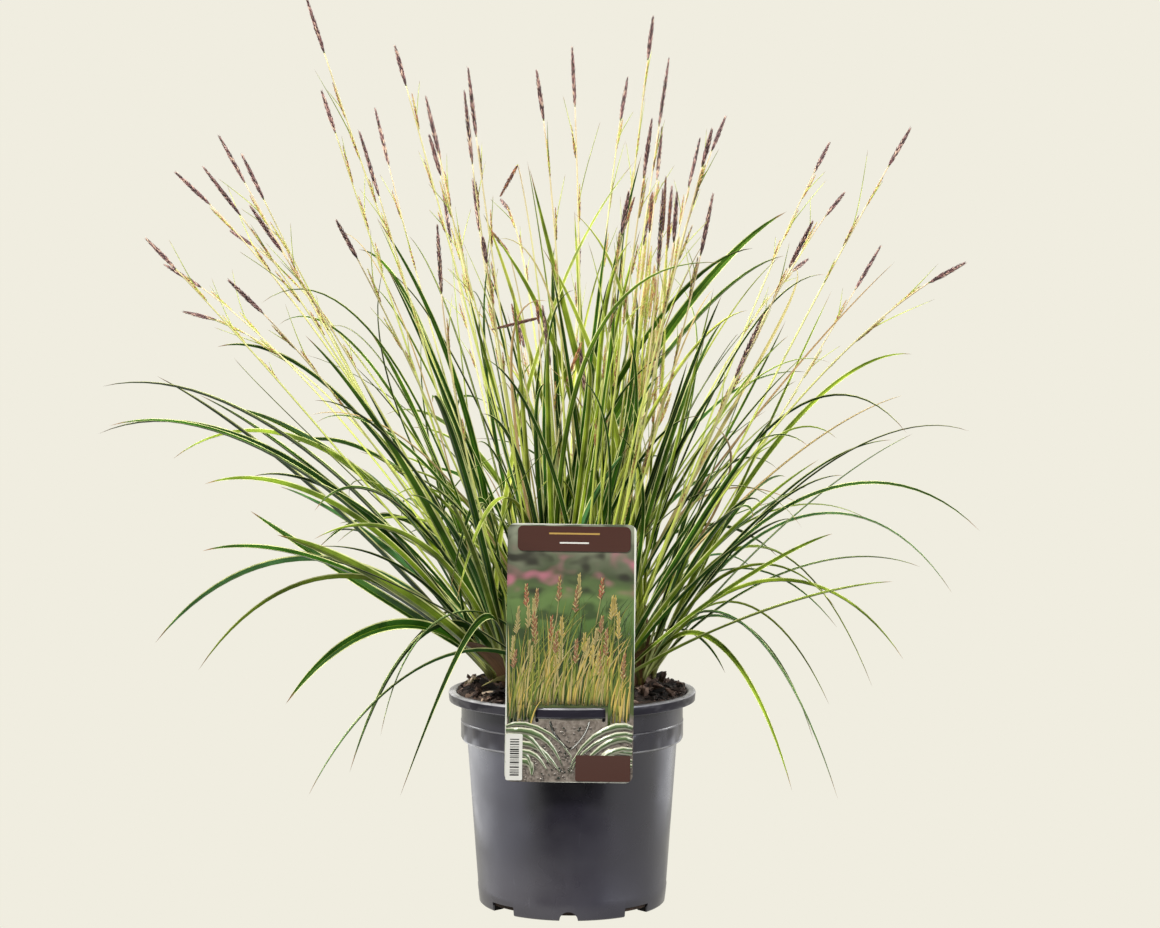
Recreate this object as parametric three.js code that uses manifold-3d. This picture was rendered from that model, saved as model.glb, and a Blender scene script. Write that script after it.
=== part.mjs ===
// Carex sedge in its nursery pot: black plastic pot, bark and peat soil, plastic hang label,
// tufts of narrow keeled leaves and groups of flowering stems with their spikes.
// Millimetres, +Z up. The origin is the centre of the pot's flat underside; the label faces -Y.
import * as THREE from 'three';
import { mergeVertices } from 'three/addons/utils/BufferGeometryUtils.js';
import Module from 'manifold-3d';

const wasm = await Module();
wasm.setup();

// ---- driving dimensions ----
const GAP = 0.35; // clearance that every piece keeps to its neighbours
const SIDES = 32; // facets round the pot and the soil

const POT = {
  height: 146, rimRadius: 85, rimBand: 6.7, collarRadius: 76, stepHeight: 112.5,
  bodyRadius: 72, footRadius: 64, wall: 1.6, floor: 3, recess: 1, padRadius: 16, footRing: 9,
  mouthRadius: 79.8, flare: 8,
};
const NOTCH = { height: 6.2, width: 21, inner: 52, outer: 72, count: 4, turn: -2 }; // drains at the foot
const DRAIN = { radius: 4, circle: 33, count: 4, turn: 20 };
const SOIL = { edge: 145.3, crown: 153, relief: 1.2, slack: 0.45, topRings: [64, 47, 30, 14] };
const LABEL = {
  width: 84, height: 170, thickness: 0.8, corner: 5, x: -0.9, y: -82.6, bottom: 97, tilt: -0.9,
  slot: 46, slotSlack: 0.9, tongueWidth: 26, tongueDrop: 19, cut: 0.8,
};

// The foot of a tuft or group: its radius, its depth in the soil and height over it, and how far
// off its centre and how high over the soil its pieces start.
const TUFT_FOOT = { radius: 5.2, depth: 12, height: 24, spread: 3.2, start: 6 };
const GROUP_FOOT = { radius: 3.4, depth: 12, height: 10, spread: 1.6, start: 3.5 };
const FOOT_SIDES = 5;

const LEAF = {
  perTuft: 12, thickness: 1.4, keel: 0.7,
  stations: [0, 0.24, 0.5, 0.76, 1], widths: [0.55, 1, 0.95, 0.66, 0],
  listed: [2.1, 0.8], filled: [1.7, 1], // half widths, as [least, spread]
  roll: 90, twist: 110, // how far blades are rolled at the foot and twisted up to the tip
};
const STEM = { radius: 0.8, neck: 0.65, bend: 0.33 };
const SPIKE = { radius: 1.8, rings: [0.8, 0.75, 1, 0.75, 0.6], length: [26, 16] };
const FEMALE = { radius: 1.4, length: 24, widest: 0.62, apart: [48, 12], stray: 10 };

// The tip of each flowering stem: x, y, z and how far the stem arches over its chord.
const STEM_TIPS = [
  [-180, 0, 618, -20], [-170, 0, 555, 0], [-140, -55, 525, 0], [-145, 135, 555, -15],
  [-240, 0, 525, 0], [-230, 40, 515, -10], [-240, -75, 500, 20], [-270, 0, 500, 35],
  [-195, -185, 470, 10], [-255, 160, 465, 45], [-290, 0, 455, 10], [-300, 130, 440, 35],
  [-210, -175, 425, 25], [-285, 125, 405, 50], [-140, -210, 460, 15], [-120, 0, 585, 5],
  [-75, -120, 560, -20], [-105, 90, 560, -10], [-95, -95, 520, 25], [-105, 155, 550, -10],
  [-70, -70, 550, -5], [-100, 215, 500, -15], [-75, -215, 450, -5], [-75, 170, 505, -25],
  [-30, -130, 555, 0], [-55, 210, 490, 70], [0, 0, 585, 0], [40, 120, 575, 10],
  [55, 0, 605, 10], [70, 115, 590, -15], [50, -150, 525, 12], [65, 105, 540, -5],
  [55, -215, 480, -8], [75, 195, 500, 0], [65, -170, 475, -10], [60, 215, 495, -8],
  [40, -195, 475, 20], [5, 215, 460, 8], [-50, -215, 455, 30], [-45, 215, 410, 8],
  [-20, -60, 410, 0], [110, 100, 545, 25], [85, -190, 515, 22], [95, 165, 535, 12],
  [85, -175, 480, 5], [190, 150, 530, 30], [230, 0, 530, 12], [195, 95, 490, 32],
  [145, -205, 460, 20], [230, 160, 455, -5], [240, -180, 435, 40], [180, 215, 445, 45],
  [115, -215, 405, -5], [70, 215, 385, -15], [5, -45, 385, 8], [15, 215, 330, 60],
];

// The tips of the long leaves that make the outline, in the same form. A fifth number is the side,
// in degrees, that a leaf starts from when it crosses the clump.
const LEAF_TIPS = [
  [-290, 40, 360, 20], [-315, -30, 355, 60], [-330, 30, 320, 65], [-305, -60, 330, 55],
  [-285, 70, 300, 75], [-235, -110, 295, 45], [-265, 60, 385, 65], [-200, -130, 405, 80],
  [-215, 120, 395, 80], [-170, -100, 390, 25], [-155, 110, 450, 65], [-210, 80, 280, 20],
  [-185, -140, 265, 15], [-240, -90, 250, 30], [-235, 110, 260, 0], [-290, 20, 175, 70],
  [-240, -110, 175, 65], [-190, -60, 145, 45], [-145, -90, 105, 65], [-270, 100, 345, 20],
  [-160, -150, 350, 45], [240, 60, 375, 55], [220, -70, 325, 90], [225, 50, 315, 35],
  [270, -60, 260, 75], [270, 60, 205, 83], [215, -100, 180, 60], [215, 70, 135, 95],
  [175, -80, 85, 80], [180, 30, 130, 60], [145, -80, 90, 62], [110, 80, 145, 30],
  [175, -100, 300, 32], [150, 120, 290, 55], [150, -130, 320, 60], [185, 90, 420, -12],
  [90, -120, 420, 0], [150, 70, 445, 58, 205], [120, -90, 445, 62, 160], [145, 30, 475, 55, 190],
  [45, -20, 510, 30, 190], [-30, -40, 505, 25, 330], [0, 60, 478, 30, 30], [-55, -60, 470, 35, 350],
  [115, -60, 360, 0], [-78, -112, 225, 90],
];

// Ranges of the leaves between the listed ones, as [least, spread]. A tip lies at a reach from the
// pot's axis, and its height falls by a share of that reach.
const FILL = {
  upright: { fan: 250, reach: [20, 180], height: [300, 210], fall: 0.45, rise: [0, 55] },
  stiff: { fan: 95, reach: [80, 170], height: [340, 130], fall: 0.45, rise: [5, 40] },
  arching: { fan: 85, reach: [170, 130], height: [205, 160], fall: 0, rise: [20, 45] },
  drooping: { fan: 80, reach: [130, 90], height: [90, 110], fall: 0, rise: [50, 25] },
};
const OUTER_MIX = [['drooping', 0.05], ['arching', 0.45], ['stiff', 1]]; // shares, added up
const UPRIGHT = 0.4; // tips nearer the axis than this share of their height grow from the inner feet

// Rings of feet round the crown: how many, how far out, and the turn of the first one.
const TUFT_RINGS = [{ count: 5, radius: 22, turn: 20 }, { count: 10, radius: 53, turn: 8 }];
const GROUP_RINGS = [{ count: 4, radius: 8, turn: 50 }, { count: 10, radius: 37.5, turn: 26 }];

const colour = (hex, roughness) => new THREE.MeshStandardMaterial({
  color: hex, roughness, metalness: 0, flatShading: true,
});
const MATERIALS = {
  pot: colour(0x3a3a3d, 0.35),
  soil: colour(0x2e1f18, 0.95),
  label: colour(0xd9dccb, 0.3),
  leaf: colour(0x3f5f2c, 0.5),
  stem: colour(0xa3b03c, 0.5),
};

// ---- solids ----

// A closed geometry as a solid, whichever way its faces were wound.
function solid(geometry) {
  const bare = geometry.clone();
  bare.deleteAttribute('normal');
  bare.deleteAttribute('uv');
  const merged = mergeVertices(bare);
  const { array } = merged.attributes.position;
  const index = merged.index.array;
  const corner = (i) => new THREE.Vector3().fromArray(array, 3 * i);
  const kept = [];
  let volume = 0;
  for (let i = 0; i < index.length; i += 3) {
    const [a, b, c] = index.slice(i, i + 3);
    if (a === b || b === c || c === a) continue;
    kept.push([a, b, c]);
    volume += corner(a).dot(corner(b).cross(corner(c)));
  }
  const facing = volume > 0 ? kept : kept.map(([a, b, c]) => [a, c, b]);
  const mesh = new wasm.Mesh({
    numProp: 3, vertProperties: Float32Array.from(array), triVerts: Uint32Array.from(facing.flat()),
  });
  return new wasm.Manifold(mesh);
}

function named(name, body, material) {
  const { vertProperties, triVerts } = body.getMesh();
  const geometry = new THREE.BufferGeometry();
  geometry.setAttribute('position', new THREE.BufferAttribute(vertProperties, 3));
  geometry.setIndex(new THREE.BufferAttribute(triVerts, 1));
  const mesh = new THREE.Mesh(geometry, material);
  mesh.name = name;
  return mesh;
}

// A profile of [radius, height] points turned about the Z axis.
function turned(profile, sides) {
  const points = profile.map(([r, z]) => new THREE.Vector2(r, z));
  return solid(new THREE.LatheGeometry(points, sides).rotateX(Math.PI / 2));
}

// Rings of points joined in turn, closed flat at the first ring and in a point at the end.
function lofted(rings, point) {
  const sides = rings[0].length;
  const vertices = [...rings.flat(), point];
  const faces = [];
  for (let i = 1; i < sides - 1; i += 1) faces.push(0, i + 1, i);
  for (let k = 0; k < rings.length - 1; k += 1) {
    for (let i = 0; i < sides; i += 1) {
      const [a, b] = [k * sides + i, k * sides + (i + 1) % sides];
      faces.push(a, b, b + sides, a, b + sides, a + sides);
    }
  }
  const last = (rings.length - 1) * sides;
  for (let i = 0; i < sides; i += 1) faces.push(last + i, last + (i + 1) % sides, vertices.length - 1);
  const geometry = new THREE.BufferGeometry();
  const flat = new Float32Array(vertices.flatMap((v) => v.toArray()));
  geometry.setAttribute('position', new THREE.BufferAttribute(flat, 3));
  geometry.setIndex(faces);
  return solid(geometry);
}

const radians = THREE.MathUtils.degToRad;
const polar = (radius, degrees, z = 0) => new THREE.Vector3(
  radius * Math.cos(radians(degrees)), radius * Math.sin(radians(degrees)), z,
);

// ---- pot ----

const innerWall = {
  foot: POT.footRadius - POT.wall,
  body: POT.bodyRadius - POT.wall,
  collar: POT.collarRadius - POT.wall,
  ledge: POT.stepHeight + POT.wall,
};

// The inner wall's radius at a height near the mouth, where it flares.
function wallAt(z) {
  const share = (Math.min(z, POT.height) - POT.height + POT.flare) / POT.flare;
  return innerWall.collar + (POT.mouthRadius - innerWall.collar) * Math.max(0, share);
}

function pot() {
  const { height, rimRadius, rimBand, collarRadius, stepHeight, wall, floor, recess } = POT;
  const ringInside = POT.footRadius - POT.footRing;
  let body = turned([
    [0, 0], [POT.padRadius, 0], [POT.padRadius + recess, recess], [ringInside - recess, recess],
    [ringInside, 0], [POT.footRadius, 0], [POT.bodyRadius, stepHeight - 1],
    [collarRadius, stepHeight + 0.5], [collarRadius, height - POT.flare - 0.6],
    [POT.mouthRadius + 0.8, height - wall - 0.3],
    [rimRadius - wall, height - wall], [rimRadius - wall - 0.2, height - rimBand],
    [rimRadius - 0.5, height - rimBand], [rimRadius, height], [POT.mouthRadius, height],
    [innerWall.collar, height - POT.flare],
    [innerWall.collar, innerWall.ledge + 1], [innerWall.body, innerWall.ledge - 1.5],
    [innerWall.foot, floor], [0, floor],
  ], SIDES);
  const [reach, middle] = [NOTCH.outer - NOTCH.inner, (NOTCH.outer + NOTCH.inner) / 2];
  const round = (cutter, count, k, turn) => cutter.rotateZ(radians((360 / count) * k + turn));
  for (let k = 0; k < NOTCH.count; k += 1) {
    const arch = new THREE.CylinderGeometry(NOTCH.height, NOTCH.height, reach, 12);
    arch.rotateZ(Math.PI / 2).translate(middle, 0, 0);
    const slot = new THREE.BoxGeometry(reach, NOTCH.width, 2 * NOTCH.height).translate(middle, 0, 0);
    body = body.subtract(solid(round(arch, NOTCH.count, k, NOTCH.turn)));
    body = body.subtract(solid(round(slot, NOTCH.count, k + 0.5, NOTCH.turn)));
  }
  for (let k = 0; k < DRAIN.count; k += 1) {
    const drain = new THREE.CylinderGeometry(DRAIN.radius, DRAIN.radius, 4 * floor, 6);
    drain.rotateX(Math.PI / 2).translate(DRAIN.circle, 0, 0);
    body = body.subtract(solid(round(drain, DRAIN.count, k, DRAIN.turn)));
  }
  return body;
}

// ---- soil ----

const soilTop = (r) => SOIL.crown - (SOIL.crown - SOIL.edge) * (r / POT.mouthRadius) ** 2;

// Lumps in the soil's surface, a few centimetres apart.
const lump = (x, y) => SOIL.relief
  * (Math.sin(0.21 * x + 1.3) * Math.cos(0.19 * y) + 0.8 * Math.sin(0.37 * y - 0.29 * x));

function soilBlock() {
  const sideRings = [
    [innerWall.foot - GAP, POT.floor + GAP],
    [innerWall.body - GAP, innerWall.ledge - 1.5 + GAP],
    [innerWall.collar - GAP, innerWall.ledge + 1 + GAP],
    [innerWall.collar - GAP, POT.height - POT.flare + 0.1],
  ];
  const ring = (at) => Array.from({ length: SIDES }, (_, i) => at((360 / SIDES) * i));
  const surface = (r) => ring((turn) => {
    const p = polar(r, turn);
    return p.setZ(soilTop(r) + lump(p.x, p.y));
  });
  // The surface's outermost ring keeps its slack to the flared wall at its own height.
  const shore = surface(POT.mouthRadius - SOIL.slack).map((p, i) => (
    polar(wallAt(p.z) - SOIL.slack, (360 / SIDES) * i, p.z)
  ));
  const rings = [
    ...sideRings.map(([r, z]) => ring((turn) => polar(r, turn, z))),
    shore,
    ...SOIL.topRings.map(surface),
  ];
  return lofted(rings, new THREE.Vector3(0, 0, soilTop(0) + lump(0, 0)));
}

// ---- hang label ----

function roundedRect(width, height, radius) {
  const [x, y] = [width / 2, height / 2];
  const shape = new THREE.Shape();
  shape.moveTo(-x + radius, -y).lineTo(x - radius, -y);
  shape.absarc(x - radius, -y + radius, radius, -Math.PI / 2, 0);
  shape.absarc(x - radius, y - radius, radius, 0, Math.PI / 2);
  shape.absarc(-x + radius, y - radius, radius, Math.PI / 2, Math.PI);
  shape.absarc(-x + radius, -y + radius, radius, Math.PI, 1.5 * Math.PI);
  return shape;
}

// A flat shape as a plate of some depth that stands upright and faces -Y, centred on y = 0.
const plate = (shape, depth) => {
  const geometry = new THREE.ExtrudeGeometry(shape, { depth, bevelEnabled: false, curveSegments: 3 });
  return geometry.translate(0, 0, -depth / 2).rotateX(Math.PI / 2);
};

function hangLabel() {
  const { width, height, thickness, corner, x, y, bottom, tilt, slot, slotSlack, cut } = LABEL;
  const card = plate(roundedRect(width, height, corner), thickness);
  card.rotateY(radians(-tilt)).translate(x, y, bottom + height / 2);
  const slotHeight = POT.rimBand + slotSlack;
  const slotCentre = POT.height - POT.rimBand / 2;
  const window = plate(roundedRect(slot, slotHeight, 1), 3 * thickness).translate(x, y, slotCentre);
  const tongue = new THREE.Shape();
  const [half, drop] = [LABEL.tongueWidth / 2, LABEL.tongueDrop];
  tongue.moveTo(-half, 0).quadraticCurveTo(-half * 0.8, -drop * 0.62, 0, -drop);
  tongue.quadraticCurveTo(half * 0.8, -drop * 0.62, half, 0).lineTo(half - cut, 0);
  tongue.quadraticCurveTo(half * 0.76, -drop * 0.56, 0, -drop + 1.4 * cut);
  tongue.quadraticCurveTo(-half * 0.76, -drop * 0.56, -half + cut, 0);
  const slit = plate(tongue, 3 * thickness).translate(x, y, slotCentre - slotHeight / 2 - 1.5);
  return solid(card).subtract(solid(window)).subtract(solid(slit));
}

// ---- where the leaves and stems run ----

// A seeded source of numbers from 0 to 1.
function draws(seed) {
  let state = (seed * 2654435761) % 4294967296;
  const next = () => {
    state = (state * 1664525 + 1013904223) % 4294967296;
    return state / 4294967296;
  };
  next();
  next();
  return next;
}

// The feet of all tufts or groups, each a little off its even place in its ring.
const feetOf = (rings, form) => rings.flatMap(({ count, radius, turn }, ring) => (
  Array.from({ length: count }, (_, i) => {
    const draw = draws(1000 * ring + 37 * i + 5);
    const centre = polar(radius + 4 * draw() - 2, turn + (360 / count) * i + 8 * draw() - 4);
    const level = soilTop(centre.length());
    return { ring, form, centre, level, azimuth: Math.atan2(centre.y, centre.x), pieces: [] };
  })
));

// The foot that a piece with this tip grows from: by direction, and inner for an upright piece.
function footFor(feet, [x, y, z, , start]) {
  const ring = Math.hypot(x, y) < UPRIGHT * (z - SOIL.crown) ? 0 : 1;
  const towards = start === undefined ? Math.atan2(y, x) : radians(start);
  const off = (foot) => 1 - Math.cos(foot.azimuth - towards);
  return feet.filter((foot) => foot.ring === ring).reduce((a, b) => (off(b) < off(a) ? b : a));
}

// The curve from a foot to a tip: it arches by the rise and bows sideways. Flatter pieces start
// further off the foot's centre.
function course({ centre, form }, { tip, rise, bow }) {
  const out = new THREE.Vector3(tip.x - centre.x, tip.y - centre.y, 0).normalize();
  const side = new THREE.Vector3(-out.y, out.x, 0);
  const steepness = Math.max(0, (tip.z - SOIL.crown) / tip.distanceTo(centre));
  const start = centre.clone().addScaledVector(out, form.spread * (1 - 0.8 * steepness));
  start.z = soilTop(start.length()) + form.start;
  const along = (share, sideways) => start.clone().lerp(tip, share)
    .addScaledVector(side, sideways).add(new THREE.Vector3(0, 0, (4 / 3) * rise));
  const curve = new THREE.CubicBezierCurve3(start, along(0.25, 0.5 * bow), along(0.7, bow), tip);
  return { curve, side };
}

// The straight segments through a row of points, each with its wider end's radius.
const chain = (points, radii) => points.slice(1).map((to, i) => (
  { from: points[i], to, radius: Math.max(radii[i], radii[i + 1]) }
));

// Distance between two straight segments a and b.
function distance(a, b) {
  const [da, db] = [a.to.clone().sub(a.from), b.to.clone().sub(b.from)];
  const between = a.from.clone().sub(b.from);
  const [aa, bb, ab] = [da.lengthSq(), db.lengthSq(), da.dot(db)];
  const [ac, bc] = [da.dot(between), db.dot(between)];
  const clamp = (v) => Math.min(1, Math.max(0, v));
  const spread = aa * bb - ab * ab;
  const s = spread > 1e-9 ? clamp((ab * bc - ac * bb) / spread) : 0;
  const t = clamp((ab * s + bc) / bb);
  return between.addScaledVector(da, clamp((ab * t - ac) / aa)).addScaledVector(db, -t).length();
}

// What stands in the way: the soil, the pot's rim, and the label with the space before it.
function blocked({ from, to, radius }) {
  const steps = Math.ceil(from.distanceTo(to) / 4);
  const rim = POT.rimRadius + radius + 3;
  const labelHalf = LABEL.width / 2 + radius + 5;
  for (let k = 0; k <= steps; k += 1) {
    const p = from.clone().lerp(to, k / steps);
    const [r, low] = [Math.hypot(p.x, p.y), p.z - radius];
    if (r < POT.mouthRadius && low < soilTop(r) + 1.5) return true;
    if (r >= innerWall.body && r < rim && low < POT.height + 2) return true;
    const atLabel = p.y < LABEL.y + radius + 4 && Math.abs(p.x - LABEL.x) < labelHalf;
    if (atLabel && low < LABEL.bottom + LABEL.height + 5) return true;
  }
  return false;
}

const placed = []; // the segments of all that is placed, each with its foot

// Near its foot a piece may touch the foot's other pieces, and everywhere else it touches none.
const isClear = (foot, segments) => segments.every((segment, i) => !blocked(segment)
  && placed.every((other) => (other.foot === foot && (i === 0 || other.low))
    || distance(segment, other) > segment.radius + other.radius + GAP));

// Takes the first of a piece's courses that is clear of what is placed. With none, it is left out.
function place(foot, attempts, candidate) {
  for (let attempt = 0; attempt < attempts; attempt += 1) {
    const piece = candidate(attempt);
    if (isClear(foot, piece.segments)) {
      piece.segments.forEach((segment, i) => placed.push({ ...segment, foot, low: i === 0 }));
      foot.pieces.push(piece);
      return;
    }
  }
}

// A listed tip, moved a little further from its place with each attempt.
function nudged([x, y, z, rise], draw, attempt) {
  const move = (reach) => (draw() * 2 - 1) * reach * Math.min(1, attempt / 40);
  const tip = new THREE.Vector3(x + move(12), y + move(60), z + move(12));
  return { tip, rise: rise + move(15), bow: 12 * (draw() * 2 - 1) + move(20) };
}

// A tip drawn for a leaf between the listed ones, the k-th of its tuft.
function drawn(foot, k, draw) {
  const mix = draw();
  const [outer] = OUTER_MIX.find(([, share]) => mix < share);
  const kind = FILL[foot.ring === 0 ? 'upright' : outer];
  const pick = ([least, spread]) => least + spread * draw();
  const share = (0.618 * k + 0.25 * draw()) % 1;
  const azimuth = THREE.MathUtils.radToDeg(foot.azimuth) + kind.fan * (share - 0.5);
  const reach = pick(kind.reach);
  const tip = polar(reach, azimuth, pick(kind.height) - kind.fall * reach);
  return { tip, rise: pick(kind.rise), bow: 70 * (draw() - 0.5) };
}

// A blade's half width, and how far it is rolled at its foot and twisted up to its tip.
function bladeOf(draw, [least, spread]) {
  const halfWidth = least + spread * draw();
  const roll = LEAF.roll * (draw() - 0.5);
  return { halfWidth, roll, twist: LEAF.twist * (draw() - 0.5) };
}

function leafPiece(foot, route, blade) {
  const { curve, side } = course(foot, route);
  const points = LEAF.stations.map((t) => curve.getPoint(t));
  const radii = LEAF.widths.map((width) => width * blade.halfWidth);
  return { curve, side, segments: chain(points, radii), ...blade };
}

// A stem: plain up to its female spikes, which swell it, then its male spike up to the tip.
function stemPiece(foot, route, spikeLength, draw) {
  const { curve, side } = course(foot, route);
  const length = curve.getLength();
  const neck = 1 - spikeLength / length;
  const rings = [{ t: 0, radius: STEM.radius }, { t: STEM.bend, radius: STEM.radius }];
  for (const apart of FEMALE.apart) {
    const top = neck - (apart + FEMALE.stray * draw()) / length;
    rings.push({ t: top - FEMALE.length / length, radius: STEM.radius });
    rings.push({ t: top - (FEMALE.widest * FEMALE.length) / length, radius: FEMALE.radius });
    rings.push({ t: top, radius: STEM.neck });
  }
  rings.push({ t: neck, radius: STEM.neck });
  const points = [...rings.map(({ t }) => curve.getPoint(t)), route.tip];
  const segments = chain(points, [...rings.map(({ radius }) => radius), SPIKE.radius]);
  return { side, rings, points, segments };
}

const tufts = feetOf(TUFT_RINGS, TUFT_FOOT);
const groups = feetOf(GROUP_RINGS, GROUP_FOOT);

function plant() {
  for (const foot of [...tufts, ...groups]) {
    const from = foot.centre.clone().setZ(foot.level - foot.form.depth);
    const to = foot.centre.clone().setZ(foot.level + foot.form.height);
    placed.push({ from, to, radius: foot.form.radius, foot, low: true });
  }
  STEM_TIPS.forEach((row, i) => {
    const foot = footFor(groups, row);
    const draw = draws(7919 * i + 11);
    const spikeLength = SPIKE.length[0] + SPIKE.length[1] * draw();
    place(foot, 400, (attempt) => stemPiece(foot, nudged(row, draw, attempt), spikeLength, draw));
  });
  LEAF_TIPS.forEach((row, i) => {
    const foot = footFor(tufts, row);
    const draw = draws(6007 * i + 17);
    const blade = bladeOf(draw, LEAF.listed);
    place(foot, 400, (attempt) => leafPiece(foot, nudged(row, draw, attempt), blade));
  });
  tufts.forEach((foot, i) => {
    for (let k = foot.pieces.length; k < LEAF.perTuft; k += 1) {
      const draw = draws(4001 * i + 131 * k + 23);
      const blade = bladeOf(draw, LEAF.filled);
      place(foot, 250, () => leafPiece(foot, drawn(foot, k, draw), blade));
    }
  });
}

// ---- leaf tufts and stem groups as solids ----

function footSolid({ centre, level, form: { radius, depth, height } }) {
  const body = turned([
    [0, level - depth], [radius, level - depth], [radius, level + 2],
    [0.72 * radius, level + height - 2], [0, level + height],
  ], FOOT_SIDES);
  return body.translate([centre.x, centre.y, 0]);
}

// A keeled blade: flat above, with its midrib standing out below.
function leafSolid({ curve, side, halfWidth, roll, twist }) {
  const rings = LEAF.stations.slice(0, -1).map((t, k) => {
    const along = curve.getTangent(t);
    const across = side.clone().applyAxisAngle(along, radians(roll + twist * t));
    const up = along.clone().cross(across).normalize();
    across.crossVectors(up, along);
    const half = halfWidth * LEAF.widths[k];
    const thickness = LEAF.thickness * (0.6 + 0.4 * LEAF.widths[k]);
    const at = (sideways, upwards) => curve.getPoint(t)
      .addScaledVector(across, sideways).addScaledVector(up, upwards * thickness);
    return [at(half, 1 - LEAF.keel), at(-half, 1 - LEAF.keel), at(0, -LEAF.keel)];
  });
  return lofted(rings, curve.getPoint(1));
}

// A three-cornered ring square to a direction.
function ringAcross(centre, along, side, radius, turn) {
  const up = along.clone().cross(side).normalize();
  const across = new THREE.Vector3().crossVectors(up, along);
  return [0, 1, 2].map((i) => {
    const angle = (2 * Math.PI * i) / 3 + turn;
    return centre.clone().addScaledVector(across, radius * Math.cos(angle))
      .addScaledVector(up, radius * Math.sin(angle));
  });
}

// A three-cornered stem. Its male spike has rings of scales, each turned half a scale.
function stemSolid({ side, rings, points }) {
  const [end, tip] = points.slice(-2);
  const along = points.slice(1).map((p, k) => p.clone().sub(points[k]).normalize());
  const loops = rings.map(({ radius }, k) => {
    const direction = along[k].clone().add(along[Math.max(k - 1, 0)]).normalize();
    return ringAcross(points[k], direction, side, radius, 0);
  });
  SPIKE.rings.forEach((share, k) => {
    const centre = end.clone().lerp(tip, (k + 0.35) / SPIKE.rings.length);
    loops.push(ringAcross(centre, along.at(-1), side, SPIKE.radius * share, -(k + 1) * Math.PI / 3));
  });
  return lofted(loops, tip);
}

// ---- the object ----

plant();
const filled = (feet) => feet.filter(({ pieces }) => pieces.length > 0);

// The hole that a foot stands in, open at the soil's surface.
function hole({ centre, level, form: { radius, depth } }) {
  const wide = radius + GAP / Math.cos(Math.PI / FOOT_SIDES);
  const [bottom, top] = [level - depth - GAP, level + 10];
  const body = turned([[0, bottom], [wide, bottom], [wide, top], [0, top]], FOOT_SIDES);
  return body.translate([centre.x, centre.y, 0]);
}

const object = new THREE.Group();
object.name = 'carex_sedge_in_pot';
const soil = filled([...tufts, ...groups]).reduce((body, foot) => body.subtract(hole(foot)), soilBlock());
object.add(named('pot', pot(), MATERIALS.pot));
object.add(named('soil', soil, MATERIALS.soil));
object.add(named('hang_label', hangLabel(), MATERIALS.label));

function addBunches(name, feet, pieceSolid, material) {
  filled(feet).forEach((foot, i) => {
    const body = foot.pieces.reduce((all, piece) => all.add(pieceSolid(piece)), footSolid(foot));
    object.add(named(`${name}_${String(i + 1).padStart(2, '0')}`, body, material));
  });
}
addBunches('leaf_tuft', tufts, leafSolid, MATERIALS.leaf);
addBunches('flower_stems', groups, stemSolid, MATERIALS.stem);

export default object;
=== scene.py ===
# Carex sedge in its nursery pot: the looks of the pot, soil, label, leaves and flowering stems,
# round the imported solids. Sizes are in millimetres and become metres where a mesh is written.
import math
import random

import bmesh
import bpy
import numpy as np
from bmesh.types import BMEdge, BMVert
from mathutils import Matrix, Quaternion, Vector, noise


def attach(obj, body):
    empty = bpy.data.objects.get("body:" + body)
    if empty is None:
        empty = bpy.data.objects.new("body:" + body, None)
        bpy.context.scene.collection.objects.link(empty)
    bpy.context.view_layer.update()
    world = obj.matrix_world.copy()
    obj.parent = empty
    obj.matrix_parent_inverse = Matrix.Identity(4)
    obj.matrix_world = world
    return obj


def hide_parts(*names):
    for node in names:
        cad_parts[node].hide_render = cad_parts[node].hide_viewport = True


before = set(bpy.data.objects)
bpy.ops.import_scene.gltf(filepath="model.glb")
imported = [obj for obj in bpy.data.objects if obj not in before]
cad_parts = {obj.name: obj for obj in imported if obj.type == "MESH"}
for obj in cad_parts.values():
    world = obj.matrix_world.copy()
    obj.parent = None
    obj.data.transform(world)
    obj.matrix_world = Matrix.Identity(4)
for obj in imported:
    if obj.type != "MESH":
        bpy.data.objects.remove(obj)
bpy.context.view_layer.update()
MM = 0.001
UP = np.array([0.0, 0.0, 1.0])

# ---- sizes, the same as the solids' ----
GAP = 0.35
POT = dict(
    height=146, rim_radius=85, rim_band=6.7, collar_radius=76, step_height=112.5,
    body_radius=72, foot_radius=64, wall=1.6, floor=3, recess=1, pad_radius=16, foot_ring=9,
    mouth_radius=79.8, flare=8, ridge=125.3,
)
NOTCH = dict(height=6.2, width=21, inner=52, outer=72, count=4, turn=-2)
DRAIN = dict(radius=4, circle=33, count=4, turn=20)
SOIL = dict(edge=145.3, crown=153, relief=1.2, slack=0.45)
LABEL = dict(
    width=84, height=170, thickness=0.8, corner=5, x=-0.9, y=-82.6, bottom=97, tilt=-0.9,
    slot=46, slot_slack=0.9, tongue_width=26, tongue_drop=19, cut=0.8,
)
TUFT_FOOT = dict(radius=5.2, depth=12, height=24, spread=3.2, start=6)
GROUP_FOOT = dict(radius=3.4, depth=12, height=10, spread=1.6, start=3.5)
LEAF = dict(
    per_tuft=12, stations=[0, 0.24, 0.5, 0.76, 1], widths=[0.55, 1, 0.95, 0.66, 0],
    listed=(2.1, 0.8), filled=(1.7, 1.0), roll=90, twist=110,
)
STEM = dict(radius=0.8, neck=0.65, bend=0.33)
SPIKE = dict(radius=1.8, length=(26, 16))
FEMALE = dict(radius=1.4, length=24, widest=0.62, apart=(48, 12), stray=10)

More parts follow.
